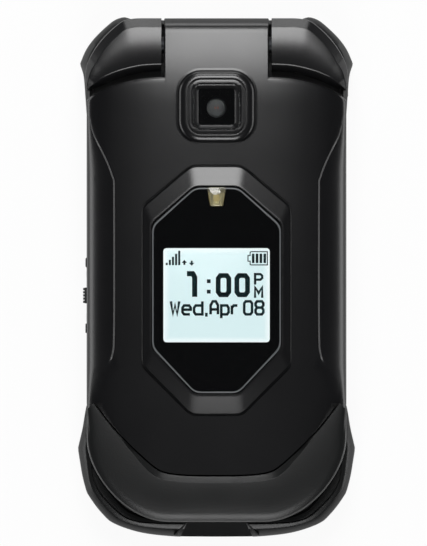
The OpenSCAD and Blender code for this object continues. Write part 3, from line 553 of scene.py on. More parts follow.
@dataclass
class Form:
    """Points and faces of one mesh while it is put together, in millimetres."""

    spots: list[Spot] = field(default_factory=list)
    faces: Faces = field(default_factory=list)

    def loft(self, rings: Sequence[Sequence[Spot]], closed: bool = True, start: bool = False,
             end: bool = False) -> "Form":
        """Skins a run of rings that have the same count of points.

        Args:
            rings: The rings, each counter-clockwise when seen from where the run goes.
            closed: Whether each ring closes on itself.
            start: Whether the first ring gets a face.
            end: Whether the last ring gets a face.

        Returns:
            This form.
        """
        base, count = len(self.spots), len(rings[0])
        for ring in rings:
            self.spots.extend(ring)
        for i in range(len(rings) - 1):
            for j in range(count if closed else count - 1):
                k = (j + 1) % count
                a, b = base + i * count, base + (i + 1) * count
                self.faces.append((a + j, a + k, b + k, b + j))
        if start:
            self.faces.append(tuple(range(base + count - 1, base - 1, -1)))
        if end:
            last = base + (len(rings) - 1) * count
            self.faces.append(tuple(range(last, last + count)))
        return self

    def slab(self, outline: Sequence[Flat], low: float, high: float, edge: float = 0.0) -> "Form":
        """Adds a plate over an outline, with a small bevel round its upper edge."""
        rings = [lifted(outline, low), lifted(outline, high - edge)]
        if edge:
            rings += [lifted(drawn_in(outline, edge * 0.3), high - edge * 0.3),
                      lifted(drawn_in(outline, edge), high)]
        return self.loft(rings, start=True, end=True)

    def frame(self, outer: Sequence[Flat], inner: Sequence[Flat], low: float, high: float) -> "Form":
        """Adds a flat ring between two outlines with the same count of points."""
        rings = [lifted(outer, low), lifted(outer, high), lifted(inner, high), lifted(inner, low)]
        return self.loft([*rings, rings[0]])

    def box(self, low: Spot, high: Spot) -> "Form":
        """Adds a plain block between two corners."""
        (x0, y0, z0), (x1, y1, z1) = low, high
        return self.slab([(x0, y0), (x1, y0), (x1, y1), (x0, y1)], z0, z1)

    def mesh(self, name: str, weld: bool = False, clean: bool = False) -> bpy.types.Mesh:
        """Turns the form into a mesh in metres.

        Args:
            name: Name of the mesh.
            weld: Whether points at one place are joined.
            clean: Whether slivers are taken out.

        Returns:
            The mesh, with its faces turned outward.
        """
        mesh = bpy.data.meshes.new(name)
        mesh.from_pydata([[c * MM for c in spot] for spot in self.spots], [], self.faces)
        work = bmesh.new()
        work.from_mesh(mesh)
        if weld:
            bmesh.ops.remove_doubles(work, verts=work.verts, dist=WELD * MM)
        if clean:
            bmesh.ops.dissolve_degenerate(work, dist=SLIVER * MM, edges=work.edges)
        bmesh.ops.recalc_face_normals(work, faces=work.faces)
        work.to_mesh(mesh)
        work.free()
        return mesh


def piece(name: str, form: Form, finish: "Finish", body: Body | str,
          replaces: Sequence[str] = (), sharp: float = 32.0, weld: bool = True) -> bpy.types.Object:
    """Makes a visible piece from a form, dresses it and sets it on its body.

    Args:
        name: Name of the piece.
        form: Its points and faces, in millimetres.
        finish: Its finish.
        body: Body that it moves with: one of the two large ones, or a key or cover by its name.
        replaces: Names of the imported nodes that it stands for.
        sharp: Angle in degrees above which an edge stays crisp.
        weld: Whether points at one place are joined.

    Returns:
        The new object.
    """
    body = body.value if isinstance(body, Body) else body
    mesh = form.mesh(name, weld, clean=True)
    mesh.shade_smooth()
    mesh.set_sharp_from_angle(angle=math.radians(sharp))
    mesh.materials.append(finish.build())
    made = bpy.data.objects.new(name, mesh)
    bpy.context.collection.objects.link(made)
    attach(made, body)
    if replaces:
        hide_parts(*replaces)
    LOG.info("%s: %d faces on %s", name, len(mesh.polygons), body)
    return made


def cut(made: bpy.types.Object, *cutters: Form) -> None:
    """Cuts forms out of a piece and keeps the result as its own mesh."""
    for number, form in enumerate(cutters):
        tool = bpy.data.objects.new(f"cutter_{number}", form.mesh(f"cutter_{number}"))
        bpy.context.collection.objects.link(tool)
        step = made.modifiers.new("cut", "BOOLEAN")
        step.operation, step.object, step.solver = "DIFFERENCE", tool, "EXACT"
        shown = made.evaluated_get(bpy.context.evaluated_depsgraph_get())
        result = bpy.data.meshes.new_from_object(shown)
        made.modifiers.clear()
        made.data = result
        bpy.data.objects.remove(tool)


def polished(node: str, finish: "Finish", bevel_mm: float = 0.12) -> None:
    """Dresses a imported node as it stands, with a fine bevel along its crisp edges.

    Its flat faces are joined first, so that the bevel runs clean, and last its shading follows the
    large faces, so that they look flat.

    Args:
        node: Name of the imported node.
        finish: Its finish.
        bevel_mm: Width of the bevel, or 0 for none.
    """
    shown = frame["nodes"][node]
    shown = bpy.data.objects[shown] if isinstance(shown, str) else shown
    material = finish.build()
    if shown.material_slots:
        for slot in shown.material_slots:
            slot.material = material
    else:
        shown.data.materials.append(material)
    shown.data.shade_smooth()
    if bevel_mm:
        join = shown.modifiers.new("weld", "WELD")
        join.merge_threshold = NODE_WELD * MM
        flat = shown.modifiers.new("flat", "DECIMATE")
        flat.decimate_type, flat.angle_limit = "DISSOLVE", math.radians(FLAT_ANGLE)
        edge = shown.modifiers.new("bevel", "BEVEL")
        edge.width, edge.segments, edge.limit_method = bevel_mm * MM, 2, "ANGLE"
        edge.angle_limit = math.radians(BEVEL_ANGLE)
        even = shown.modifiers.new("even", "WEIGHTED_NORMAL")
        even.mode, even.weight = "FACE_AREA", 90
    LOG.info("%s: packed node, dressed", node)


Finish = Moulded | Clear | Glowing


def box_mm(node: str) -> tuple[Spot, Spot]:
    """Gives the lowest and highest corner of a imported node, in millimetres."""
    low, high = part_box(node)
    return tuple(c / MM for c in low), tuple(c / MM for c in high)


def middle_of(node: str) -> Flat:
    """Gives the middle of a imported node, seen from above."""
    low, high = box_mm(node)
    return (low[0] + high[0]) / 2, (low[1] + high[1]) / 2


@dataclass
class Sizes:
    """Main planes and edges of the phone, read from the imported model."""

    top_y: float = CAD_BOX[1][1] / MM
    bottom_y: float = CAD_BOX[0][1] / MM
    half_w: float = box_mm("rear_casing")[1][0]
    deck_z: float = box_mm("keypad_deck")[1][2]
    lid_z: float = box_mm("lid_inner_bezel")[0][2]
    shell_z: float = box_mm("chin_bumper")[0][2] - 0.05
    face_z: float = box_mm("lid_shell")[1][2]
    lid_half: float = box_mm("lid_shell")[1][0]
    base_top_y: float = box_mm("lid_shell")[1][1]
    proud_z: float = box_mm("display_bezel")[1][2]
    glass_z: float = box_mm("outer_window")[0][2]
    glass_top: float = box_mm("outer_window")[1][2]

    @property
    def lid_end_y(self) -> float:
        """Lid's end below the shoulders."""
        return self.base_top_y - 12.5

    @property
    def lid_bottom_y(self) -> float:
        """Lid's free end."""
        return self.bottom_y + 3.7

    @property
    def window_y(self) -> float:
        """Middle of the outer window."""
        return middle_of("outer_window")[1]


# ---- Lid ----


@dataclass
class Lid:
    """The lid's painted cover with its scooped sides, its hinge barrel and its soft chin guard."""

    size: Sizes
    crown: float = 2.3
    crown_power: float = 3.1
    brow: float = 1.1
    rim: float = 6.2
    rim_drop: float = 1.3
    ridge_chamfer: Flat = (0.36, 0.3)
    scoop_slope: float = 0.27
    ridge_x: float = 21.5
    rows: int = 120
    barrel_half: float = 11.1
    barrel_r: float = 5.6
    barrel_bevel: float = 2.1
    horn: Flat = (25.9, -26.5)
    chin_y: float = -41.95
    band: float = 1.45
    brow_width: float = 2.8
    proud: float = 0.6
    sunk: float = 3.4

    def upper_end(self) -> list[Flat]:
        """Outline of the lid's end below the shoulders, right half, from the side to the middle."""
        half, end = self.size.lid_half, self.size.lid_end_y
        return bend((half, end - 4.9), (half - 2.5, end - 2.4), (18.0, end), (11.0, end), 16) + [(0.0, end)]

    def seam(self) -> list[Flat]:
        """Upper edge of the chin guard, right half, from the middle to the horn."""
        x, y = self.horn
        return flowing([(0.0, self.chin_y), (5.0, self.chin_y + 0.05), (8.8, self.chin_y + 0.3),
                        (11.5, self.chin_y + 0.85), (13.3, self.chin_y + 1.95), (15.6, self.chin_y + 3.95),
                        (18.7, self.chin_y + 6.85), (22.3, y - 4.7), (x, y)], 5)

    def foot(self) -> list[Flat]:
        """Outer edge of the lid round the chin, right half, from the middle to the side."""
        half, low = self.size.lid_half, self.size.lid_bottom_y
        corner = bend((10.0, low), (19.5, low), (half, low + 10.3), (half, low + 17.8), 18)
        return [(0.0, low), (8.0, low), *corner, (half, self.horn[1] - 1.6)]

    def __post_init__(self) -> None:
        """Runs a smooth line through the marks of the ridge, as y and x."""
        self.ridge_line = flowing(sorted(self.ridge_marks()), 6)

    def ridge_marks(self) -> list[Flat]:
        """Gives the marks of the ridge beside the scoop, as y and x."""
        mid = self.size.window_y
        return [(mid + 39.0, 27.0), (mid + 34.5, 26.2), (mid + 31.9, 25.3), (mid + 27.4, 23.1),
                (mid + 23.7, 21.75), (mid + 20.5, self.ridge_x), (mid - 8.0, self.ridge_x),
                (mid - 13.8, 21.9), (mid - 16.2, 22.8), (mid - 20.3, 24.8), (mid - 22.4, 25.8),
                (mid - 25.5, 26.6)]

    def ridge(self, y: float) -> float:
        """Gives x of the ridge at a place y, always a little inside the lid's side."""
        return min(height_at(self.ridge_line, y), self.size.lid_half - 0.9)

    def depth(self, y: float) -> float:
        """Gives the share of its full depth that the scoop has at a place y, less at both its ends."""
        mid = self.size.window_y
        rise = min(1.0, max(0.0, (mid + 37.0 - y) / 15.0))
        fall = min(1.0, max(0.0, (y - mid + 24.5) / 11.0))
        return math.sin(rise * math.pi / 2) * math.sin(fall * math.pi / 2)

    def fall(self, past: float) -> float:
        """Gives the scoop's fall at a distance past the ridge: a crisp chamfer, then a gentle slope."""
        if past <= 0:
            return 0.0
        wide, deep = self.ridge_chamfer
        share = min(1.0, past / wide)
        return deep * share * share * (3 - 2 * share) + self.scoop_slope * past

    def top_z(self, x: float, y: float) -> float:
        """Gives the height of the crowned top, which sinks a little towards the hinge."""
        size = self.size
        back = max(0.0, (y - size.lid_end_y + 6.0) / (size.base_top_y - size.lid_end_y + 6.0))
        return size.face_z - self.crown * (abs(x) / size.lid_half) ** self.crown_power - self.brow * back ** 2

    def cover_z(self, x: float, y: float) -> float:
        """Gives the height of the cover at a place: crowned, scooped at the sides and round at its edges."""
        half, x = self.size.lid_half, abs(x)
        z = self.top_z(x, y) - self.fall(x - self.ridge(y)) * self.depth(y)
        edge = max(0.0, 1 - (half - x) / self.rim)
        z -= self.rim_drop * (1 - math.sqrt(max(0.0, 1 - edge ** 2.6)))
        end = height_at(self.upper_end(), x) - y
        lip = max(0.0, 1 - end / 0.35)
        return z - 0.4 * (1 - math.sqrt(max(0.0, 1 - lip ** 2)))

    def cover(self) -> Form:
        """Builds the cover: a crowned field of columns that follow the ridge, with its side walls."""
        upper, lower = self.upper_end(), self.seam()
        low_mid, high_mid = height_at(lower, self.ridge_x), height_at(upper, self.ridge_x)
        inner = [i / 24 for i in range(24)]
        outer = [0.1, 0.16, 0.23, 0.3, 0.38, 0.46, 0.54, 0.62, 0.7, 0.77, 0.83, 0.88, 0.92,
                 0.95, 0.975, 0.99, 1]
        near = [-0.3, -0.06, 0.08, 0.18, 0.29, 0.42]
        half = self.size.lid_half

        def row(i: float) -> list[Spot]:
            share = i / self.rows
            ridge = self.ridge(low_mid + (high_mid - low_mid) * share)
            line = []
            places = [u * (ridge - 0.4) for u in inner] + [ridge + n for n in near]
            places += [ridge + v * (half - ridge) for v in outer]
            for x in places:
                low = height_at(lower, x) if x < self.horn[0] else self.horn[1] - (x - self.horn[0]) * 1.05
                y = low + 0.1 + (height_at(upper, x) - low - 0.1) * share
                line.append((x, y, self.cover_z(x, y)))
            return Side.LEFT.turned(reversed(line[1:])) + line

        rows = [row(i) for i in [*range(self.rows), self.rows - 0.35, self.rows - 0.15, self.rows]]
        rim = rows[0] + [r[-1] for r in rows[1:-1]] + rows[-1][::-1] + [r[0] for r in rows[-2:0:-1]]
        floor = [(x, y, self.size.shell_z) for x, y, _ in rim]
        return Form().loft(rows, closed=False).loft([rim, floor], closed=True, end=True)

    def barrel(self) -> Form:
        """Builds the hinge barrel: the cover's middle part between the shoulders."""
        size, x = self.size, self.barrel_half
        hinge = [j for j in frame["joints"] if j["name"] == "lid_hinge"][0]["pos_m"]
        axis_y, axis_z = hinge[1] / MM, hinge[2] / MM
        end, bevel = size.base_top_y, self.barrel_bevel
        low = [(axis_y + self.barrel_r * math.cos(a), axis_z + self.barrel_r * math.sin(a))
               for a in [math.radians(190 + i * 16) for i in range(11)]]

        def outline(place: float) -> list[Flat]:
            back = [end - bevel - 0.3 - i * 0.9 for i in range(11)]
            back += [size.lid_end_y - 0.2, size.lid_end_y - 1.2]
            crest = [(y, self.top_z(place, y) + 0.004) for y in back]
            edge = crest[0][1]
            side = [(end, axis_z + 1.0), (end, edge - bevel - 0.3), (end - 0.1, edge - bevel + 0.08),
                    (end - bevel + 0.05, edge - 0.12)]
            foot = [(size.lid_end_y - 1.6, size.shell_z + 0.6), (size.lid_end_y - 0.4, size.shell_z + 0.4)]
            return low + side + crest + foot

        places = [(x, 0.22), (x - 0.07, 0.07), (x - 0.22, 0.0), (x - 0.32, 0.0), (x - 0.6, 0.0)]
        places += [(x * share, 0.0) for share in (0.8, 0.6, 0.4, 0.2)]
        places = [(-place, inset) for place, inset in places] + [(0.0, 0.0)] + places[::-1]
        rings = [[(place, y, z) for y, z in drawn_in(outline(place), inset)] for place, inset in places]
        return Form().loft(rings, start=True, end=True)

    def chin(self) -> Form:
        """Builds the chin guard with its crisp upper chamfer and its round outer edge."""
        low, face, top = self.size.shell_z, self.size.face_z, self.size.face_z + self.proud
        half = []
        for rung in rungs(self.seam(), self.foot(), 46):
            out, back, run = rung.out, rung.back, rung.run
            band = min(self.band * max(0.16, min(1.0, (22.0 - rung.inner[0]) / 8.0)), run * 0.3)
            brow = min(self.brow_width, run * 0.5)
            half.append([out(0.2, low + 0.05), out(0.2, face - 0.35), out(0.26, face - 0.2),
                         out(band, top - 0.1), out(band + 0.1, top - 0.02), out(band + 0.25, top),
                         out(run * 0.5, top - 0.06), back(brow * 0.7, top - 0.16),
                         back(brow * 0.35, top - 0.38), back(brow * 0.12, top - 0.68),
                         back(0.28, top - 0.86), back(0.1, top - 1.12),
                         back(0.0, top - 1.5), back(0.0, low + 0.3), back(0.25, low + 0.05)])
        return Form().loft(whole(half), start=True, end=True)

    def build(self) -> None:
        """Makes the cover with its openings and the room under it, the barrel and the chin guard."""
        size = self.size
        deep, above = size.face_z - self.sunk, size.face_z + 2
        cover = piece("lid_cover", self.cover(), LID_BLACK, Body.LID, ["lid_shell"],
                      sharp=38)
        window = Form().slab(window_outline(size, -1.3, -1.3), deep, above)
        hole = Form().slab(round_box(8.7, 8.7, 1.0, 4, middle_of("camera_bezel")), deep, above)
        wide, long = OuterWindow.side_slope, OuterWindow.end_slope
        groove = Form().frame(window_outline(size, wide + 0.2, long + 0.2),
                              window_outline(size, wide - 0.2, long - 0.2),
                              size.face_z - 0.95, size.face_z + 1)
        room = round_box(2 * size.lid_half - 9.0, 74.0, 3.0, 5, (0.0, 2.0))
        cut(cover, window, hole, groove, Form().slab(room, size.shell_z - 1, deep))
        piece("hinge_barrel", self.barrel(), LID_BLACK, Body.LID, sharp=38)
        piece("chin_guard", self.chin(), BUMPER, Body.LID, ["chin_bumper"], sharp=16)


def window_outline(size: Sizes, wide: float, long: float) -> list[Flat]:
    """Outlines the eight-sided outer window.

    Args:
        size: Main sizes of the phone; not used.
        wide: Growth at its sides.
        long: Growth at its ends.

    Returns:
        The closed outline with soft corners.
    """
    low, high = box_mm("outer_window")
    half, top, bottom = high[0] + 0.25 + wide, high[1] + 0.25 + long, low[1] - 0.25 - long
    flat = 4.7 + wide * 0.35
    corners = [(flat, bottom), (half, bottom + 9.5 + 0.2 * long), (half, top - 8.0 - 0.15 * long),
               (flat, top)]
    return softened(both_halves(corners), 1.3, 4)


# ---- Outer window ----


@dataclass
class OuterWindow:
    """The eight-sided bezel, the black-edged glass in it, the pale display and the torch."""

    size: Sizes
    end_slope: float = 4.5
    side_slope: float = 2.0
    lit: Flat = (22.5, 19.9)

    def bezel(self) -> Form:
        """Builds the raised bezel with flat facets and a narrow crest."""
        size = self.size
        rise = size.proud_z - size.face_z
        steps = [(self.side_slope, self.end_slope, size.face_z - 0.9),
                 (self.side_slope, self.end_slope, size.face_z + 0.06),
                 (self.side_slope - 0.1, self.end_slope - 0.12, size.face_z + 0.14),
                 (self.side_slope - 0.35, self.end_slope - 0.4, size.face_z + 0.5 * rise),
                 (0.62, 0.8, size.proud_z - 0.1), (0.45, 0.5, size.proud_z - 0.03), (0.3, 0.32, size.proud_z),
                 (0.2, 0.2, size.proud_z), (0.12, 0.12, size.proud_z - 0.06), (0.1, 0.1, size.proud_z - 0.2),
                 (0.1, 0.1, size.face_z - 0.4)]
        return Form().loft([lifted(window_outline(size, w, l), z) for w, l, z in steps])

    def build(self) -> None:
        """Makes all pieces of the outer window."""
        piece("window_bezel", self.bezel(), LID_BLACK, Body.LID, ["display_bezel"], sharp=14)
        self.glass()
        self.display()
        self.torch()

    def glass(self) -> None:
        """Makes the clear glass, the pale band round it that paints the highlight on its edge, and the black
        ink behind it.
        """
        size = self.size
        outer, inner = window_outline(size, -0.22, -0.22), window_outline(size, -0.5, -0.5)
        top = size.proud_z - 0.2
        # Pale band round the glass: painted highlight of its bevelled edge
        edge = Form().loft([lifted(outer, size.glass_z + 0.3), lifted(outer, top - 0.16), lifted(inner, top),
                            lifted(inner, size.glass_z + 0.3), lifted(outer, size.glass_z + 0.3)])
        piece("window_ground_edge", edge, EDGE_HIGHLIGHT_PAINT, Body.LID, sharp=30)
        plate = Form().slab(window_outline(size, -0.52, -0.52), size.glass_top - 0.05, top - 0.03)
        clear = piece("window_glass", plate, CLEAR_ACRYLIC, Body.LID, ["outer_window"],
                      sharp=30)
        opening = round_box(*self.lit, 0.7, 6, middle_of("outer_display"))
        torch = self.torch_line(0.12, 1.2)
        low, high = size.glass_z - 1, size.glass_top + 1
        ink = piece("window_ink", Form().slab(inner, size.glass_z, size.glass_top - 0.08), INK_BLACK,
                    Body.LID, sharp=30)
        cut(ink, Form().slab(opening, low, high), Form().slab(torch, low, high))
        cut(clear, Form().slab(torch, low, high + 1))

    def torch_line(self, grown: float, past: float) -> list[Flat]:
        """Outlines the torch lens, grown all round and run past its upper end."""
        low, high = box_mm("torch_lens")
        half_top, half_low = high[0] + 0.15, 1.35
        slope = (half_top - half_low) / (high[1] - low[1] + 0.55)
        x = half_top + grown + past * slope
        y0, y1 = low[1] - grown, high[1] + 0.55 + past
        return [(half_low + grown, y0), (x, y1), (-x, y1), (-half_low - grown, y0)]

    def torch(self) -> None:
        """Makes the torch: a clear wedge with fine ribs over a yellow diode with a painted glow, in a bright
        cup.
        """
        size = self.size
        outline = softened(self.torch_line(0.0, -0.35), 0.5, 4)
        lens = Form().slab(outline, size.glass_z + 0.1, size.glass_top + 0.42, 0.22)
        piece("torch_wedge", lens, LENS_ACRYLIC, Body.LID, ["torch_lens"], sharp=30)
        cup = Form()
        wide = softened(self.torch_line(-0.1, -0.6), 0.4, 4)
        deep = softened(self.torch_line(-0.55, -1.4), 0.3, 4)
        cup.loft([lifted(wide, size.glass_z + 0.05), lifted(deep, size.glass_z - 0.75)], end=True)
        cup.loft([lifted(drawn_in(wide, -0.08), size.glass_z + 0.05),
                  lifted(drawn_in(deep, -0.1), size.glass_z - 0.9)], end=True)
        piece("torch_cup", cup, STEEL, Body.LID)
        top = box_mm("torch_led")[1][2]
        centre = (0.0, middle_of("torch_led")[1] + 0.35)
        # The diode's glow is painted light: its emission gives it the brightness that the lamps can't bring
        # through the lens
        glow = Glowing("diode_phosphor", "#efdc9a", "#c9a23c", (0.8, 0.8, 1.0), (*centre, top), 0.55)
        chip = Form().slab(round_box(1.15, 1.3, 0.25, 4, centre), top - 0.85, top - 0.15, 0.12)
        piece("torch_diode", chip, glow, Body.LID, ["torch_led"])

    def display(self) -> None:
        """Makes the pale display with its readout of plain figures and marks."""
        low, high = box_mm("outer_display")
        middle = middle_of("outer_display")
        glow = Glowing("backlit_display", "#dcf1f3", "#f4fdfe", (self.lit[0] / 2, self.lit[1] / 2, 1.0),
                       (*middle, high[2]), 1.1)
        outline = round_box(high[0] - low[0], high[1] - low[1], 0.6, 4, middle)
        piece("display_plate", Form().slab(outline, low[2], high[2] - 0.02, 0.08), glow, Body.LID,
              ["outer_display"])
        readout = Readout((middle[0] - self.lit[0] / 2, middle[1] + self.lit[1] / 2), high[2])
        piece("display_readout", readout.form(), CRYSTAL_MARK, Body.LID, sharp=60, weld=False)


@dataclass
class Readout:
    """The display's marks, drawn with strokes of even width as such a display draws them."""

    corner: Flat
    z: float
    thick: float = 0.05

    # Characters, left end, foot, width, height, pitch and weight of the strokes
    WORDS = (("1", 4.6, -10.3, 2.6, 4.9, 3.6, 1.1), ("00", 11.6, -9.85, 2.25, 4.05, 3.95, 1.02),
             ("P", 19.4, -7.7, 1.5, 2.2, 2.0, 0.5), ("M", 19.4, -10.5, 1.5, 2.2, 2.0, 0.5),
             ("Wed", 1.6, -14.0, 1.75, 2.75, 2.45, 0.56), (",", 8.9, -14.0, 1.0, 2.75, 1.0, 0.56),
             ("Apr", 10.0, -14.0, 1.55, 2.75, 2.25, 0.56), ("08", 17.1, -14.0, 1.65, 2.75, 2.4, 0.56))
    GLYPHS = {
        "0": [[(0.2, 0), (0.8, 0), (1, 0.15), (1, 0.85), (0.8, 1), (0.2, 1), (0, 0.85), (0, 0.15), (0.2, 0)]],
        "1": [[(0.15, 1), (0.62, 1), (0.78, 0.85), (0.78, 0)]],
        "8": [[(0.2, 0.52), (0, 0.7), (0, 0.85), (0.2, 1), (0.8, 1), (1, 0.85), (1, 0.7), (0.8, 0.52),
               (0.2, 0.52), (0, 0.35), (0, 0.15), (0.2, 0), (0.8, 0), (1, 0.15), (1, 0.35), (0.8, 0.52)]],
        "P": [[(0, 0), (0, 1), (0.75, 1), (1, 0.85), (1, 0.62), (0.75, 0.47), (0, 0.47)]],
        "M": [[(0, 0), (0, 1), (0.5, 0.45), (1, 1), (1, 0)]],
        "W": [[(0, 1), (0.25, 0), (0.5, 0.75), (0.75, 0), (1, 1)]],
        "e": [[(0.05, 0.36), (1, 0.36), (1, 0.5), (0.8, 0.68), (0.2, 0.68), (0, 0.5), (0, 0.17), (0.2, 0),
               (0.9, 0)]],
        "d": [[(1, 1), (1, 0), (0.2, 0), (0, 0.17), (0, 0.5), (0.2, 0.68), (1, 0.68)]],
        "A": [[(0, 0), (0, 0.7), (0.3, 1), (0.7, 1), (1, 0.7), (1, 0)], [(0, 0.38), (1, 0.38)]],
        "p": [[(0, -0.3), (0, 0.68), (0.8, 0.68), (1, 0.5), (1, 0.17), (0.8, 0), (0, 0)]],
        "r": [[(0, 0), (0, 0.68)], [(0, 0.5), (0.25, 0.68), (0.75, 0.68)]],
        ",": [[(0.2, 0.12), (0.2, -0.18)]],
    }

    def stroke(self, form: Form, line: Sequence[Flat], width: float) -> None:
        """Adds one stroke of even width with square ends along a line of points."""
        closed = line[0] == line[-1] and len(line) > 2
        points = list(line[:-1]) if closed else list(line)
        count = len(points)
        left, right = [], []
        for i, here in enumerate(points):
            before = points[i - 1] if closed or i else here
            after = points[(i + 1) % count] if closed or i < count - 1 else here
            sides = []
            for a, b in ((before, here), (here, after)):
                run = math.dist(a, b)
                if run > 1e-6:
                    sides.append((-(b[1] - a[1]) / run, (b[0] - a[0]) / run))
            nx, ny = sum(s[0] for s in sides), sum(s[1] for s in sides)
            size = max(math.hypot(nx, ny), 1e-6)
            nx, ny = nx / size, ny / size
            reach = width / 2 / max(0.45, nx * sides[0][0] + ny * sides[0][1])
            left.append((here[0] + nx * reach, here[1] + ny * reach))
            right.append((here[0] - nx * reach, here[1] - ny * reach))
        rings = []
        for (ax, ay), (bx, by) in zip(left, right):
            rings.append([(ax, ay, self.z), (bx, by, self.z), (bx, by, self.z + self.thick),
                          (ax, ay, self.z + self.thick)])
        if closed:
            rings.append(rings[0])
        form.loft(rings, start=not closed, end=not closed)

    def block(self, form: Form, x: float, y: float, width: float, height: float) -> None:
        """Adds a filled mark by its size and lower left corner, from the display's upper left one."""
        x, y = self.corner[0] + x, self.corner[1] + y
        form.box((x, y, self.z), (x + width, y + height, self.z + self.thick))

    def word(self, form: Form, text: str, x: float, y: float, width: float, height: float,
             pitch: float, weight: float) -> None:
        """Adds a run of glyphs.

        Args:
            form: Form that gets the strokes.
            text: Characters to draw.
            x: Left end, from the display's upper left corner.
            y: Foot of the glyphs, from that corner.
            width: Width of a glyph.
            height: Height of a glyph.
            pitch: Distance from one glyph to the next.
            weight: Width of the strokes.
        """
        for place, letter in enumerate(text):
            left = self.corner[0] + x + place * pitch
            for line in self.GLYPHS[letter]:
                spots = [(left + u * width, self.corner[1] + y + v * height) for u, v in line]
                self.stroke(form, spots, weight)

    def form(self) -> Form:
        """Draws the clock, its half of the day, the date and the signal and charge marks.

        Returns:
            The form with every mark.
        """
        form = Form()
        for i in range(5):
            self.block(form, 0.5 + i * 0.66, -3.6, 0.44, 0.5 + i * 0.64)
        for x, up in ((4.05, 1), (5.6, -1)):
            cx, cy = self.corner[0] + x + 0.4, self.corner[1] - 3.1
            head = [(cx - 0.58, cy), (cx + 0.58, cy), (cx, cy + 0.62 * up)]
            form.slab(head if up > 0 else head[::-1], self.z, self.z + self.thick)
            self.block(form, x + 0.2, -3.1 - (0.45 if up > 0 else 0), 0.4, 0.45)
        left, top = self.corner[0] + 17.9, self.corner[1] - 0.75
        shell = [(left, top - 0.8), (left + 0.45, top - 0.8), (left + 0.45, top - 0.1), (left + 0.7, top),
                 (left + 4.1, top), (left + 4.1, top - 2.8), (left + 0.7, top - 2.8),
                 (left + 0.45, top - 2.7), (left + 0.45, top - 2.0), (left, top - 2.0), (left, top - 0.8)]
        self.stroke(form, shell, 0.22)
        for i in range(4):
            self.block(form, 18.72 + i * 0.82, -3.15, 0.55, 2.0)
        for y in (-9.6, -7.4):
            self.block(form, 9.2, y, 0.8, 0.8)
        for word in self.WORDS:
            self.word(form, *word)
        return form


# ---- Camera ----


@dataclass
class CameraEye:
    """The soft raised surround near the hinge, with its two fine grooves, frame, glass and lens."""

    size: Sizes
    frame_half: float = 3.85
    lens_r: float = 2.1

    def surround(self, centre: Flat, width: float, length: float) -> Form:
        """Builds the dome of the surround and the stepped frame inside it."""
        face, top, opening = self.size.face_z, self.size.proud_z, width / 2 - self.frame_half
        groove = top - 0.9
        steps = [(-0.4, face - 0.7), (-0.4, face - 0.06), (0.05, face), (0.16, face + 0.4),
                 (0.36, face + 0.8), (0.66, top - 0.42), (1.05, top - 0.2), (1.5, top - 0.06),
                 (1.95, top), (2.1, top - 0.02),
                 (2.12, groove), (2.36, groove), (2.38, top - 0.03), (2.5, top), (3.2, top - 0.02),
                 (3.26, top - 0.06), (3.28, groove), (3.5, groove), (3.52, top - 0.12), (3.62, top - 0.1),
                 (opening - 0.12, self.size.glass_top + 0.15), (opening, self.size.glass_top + 0.02),
                 (opening, self.size.glass_z)]
        rings = []
        for inset, z in steps:
            share = min(1.0, max(0.0, inset / 4.4))
            long = length - 2 * inset + (width - length) * share
            radius = max(0.7, 5.0 - inset * 1.02)
            rings.append(lifted(round_box(width - 2 * inset, long, radius, 9, centre), z))
        return Form().loft(rings)

    def build(self) -> None:
        """Makes the surround, glass, ink mask and lens."""
        size, centre = self.size, middle_of("camera_bezel")
        low, high = box_mm("camera_bezel")
        surround = self.surround(centre, high[0] - low[0], high[1] - low[1])
        piece("camera_surround", surround, LID_BLACK, Body.LID, ["camera_bezel"],
              sharp=34)
        low, high = box_mm("camera_window")
        wide, long = high[0] - low[0], high[1] - low[1]
        thick = size.glass_top - size.glass_z
        pane = Form().slab(round_box(wide + 0.4, long + 0.4, 1.2, 5, centre), size.glass_z + thick * 0.55,
                           size.glass_top)
        piece("camera_glass", pane, CLEAR_ACRYLIC, Body.LID, ["camera_window"])
        eye = (centre[0], centre[1] - 0.2)
        round_hole = [(eye[0] + self.lens_r * math.cos(a), eye[1] + self.lens_r * math.sin(a))
                      for a in [math.radians(-45 + i * 10) for i in range(36)]]
        mask = Form().frame(round_box(wide - 0.1, long - 0.1, 1.2, 8, centre), round_hole,
                            size.glass_z + 0.05, size.glass_z + thick * 0.5)
        piece("camera_mask", mask, INK_BLACK, Body.LID, sharp=30)
        self.lens(eye)

    def lens(self, eye: Flat) -> None:
        """Makes the lens barrel, its front element in a grey that paints the studio's reflection, and two red
        dots on it that paint the glints of its coated elements.
        """
        z, lens_r = self.size.glass_z, self.lens_r

        def ring(radius: float, height: float) -> list[Spot]:
            turns = [math.tau * i / 40 for i in range(40)]
            return [(eye[0] + radius * math.cos(a), eye[1] + radius * math.sin(a), height) for a in turns]

        barrel = Form().loft([ring(lens_r + 0.4, z - 0.9), ring(lens_r + 0.4, z), ring(lens_r, z + 0.04),
                              ring(lens_r - 0.08, z - 0.05), ring(lens_r - 0.5, z - 0.7)], end=True)
        piece("lens_barrel", barrel, NYLON_GREY, Body.LID)
        # Front element: its even grey is a painted reflection of the studio
        front = Form().loft([ring(lens_r - 0.05, z - 0.1), ring(lens_r - 0.1, z), ring(1.6, z + 0.05),
                             ring(1.1, z + 0.08), ring(0.6, z + 0.095), ring(0.2, z + 0.1)], end=True)
        piece("lens_front", front, LENS_PAINTED_REFLECTION, Body.LID, sharp=60)
        # Two red dots: painted glints of the lights in the lens's coated elements
        dots = Form()
        for x in (-0.28, 0.28):
            turns = [math.tau * i / 12 for i in range(12)]
            dot = [(eye[0] + x + 0.12 * math.cos(a), eye[1] + 0.26 * math.sin(a)) for a in turns]
            dots.slab(dot, z + 0.06, z + 0.13, 0.02)
        piece("lens_sparks", dots, LENS_GLINT_PAINT, Body.LID, sharp=60)


# ---- Hinge shoulders and bumpers ----


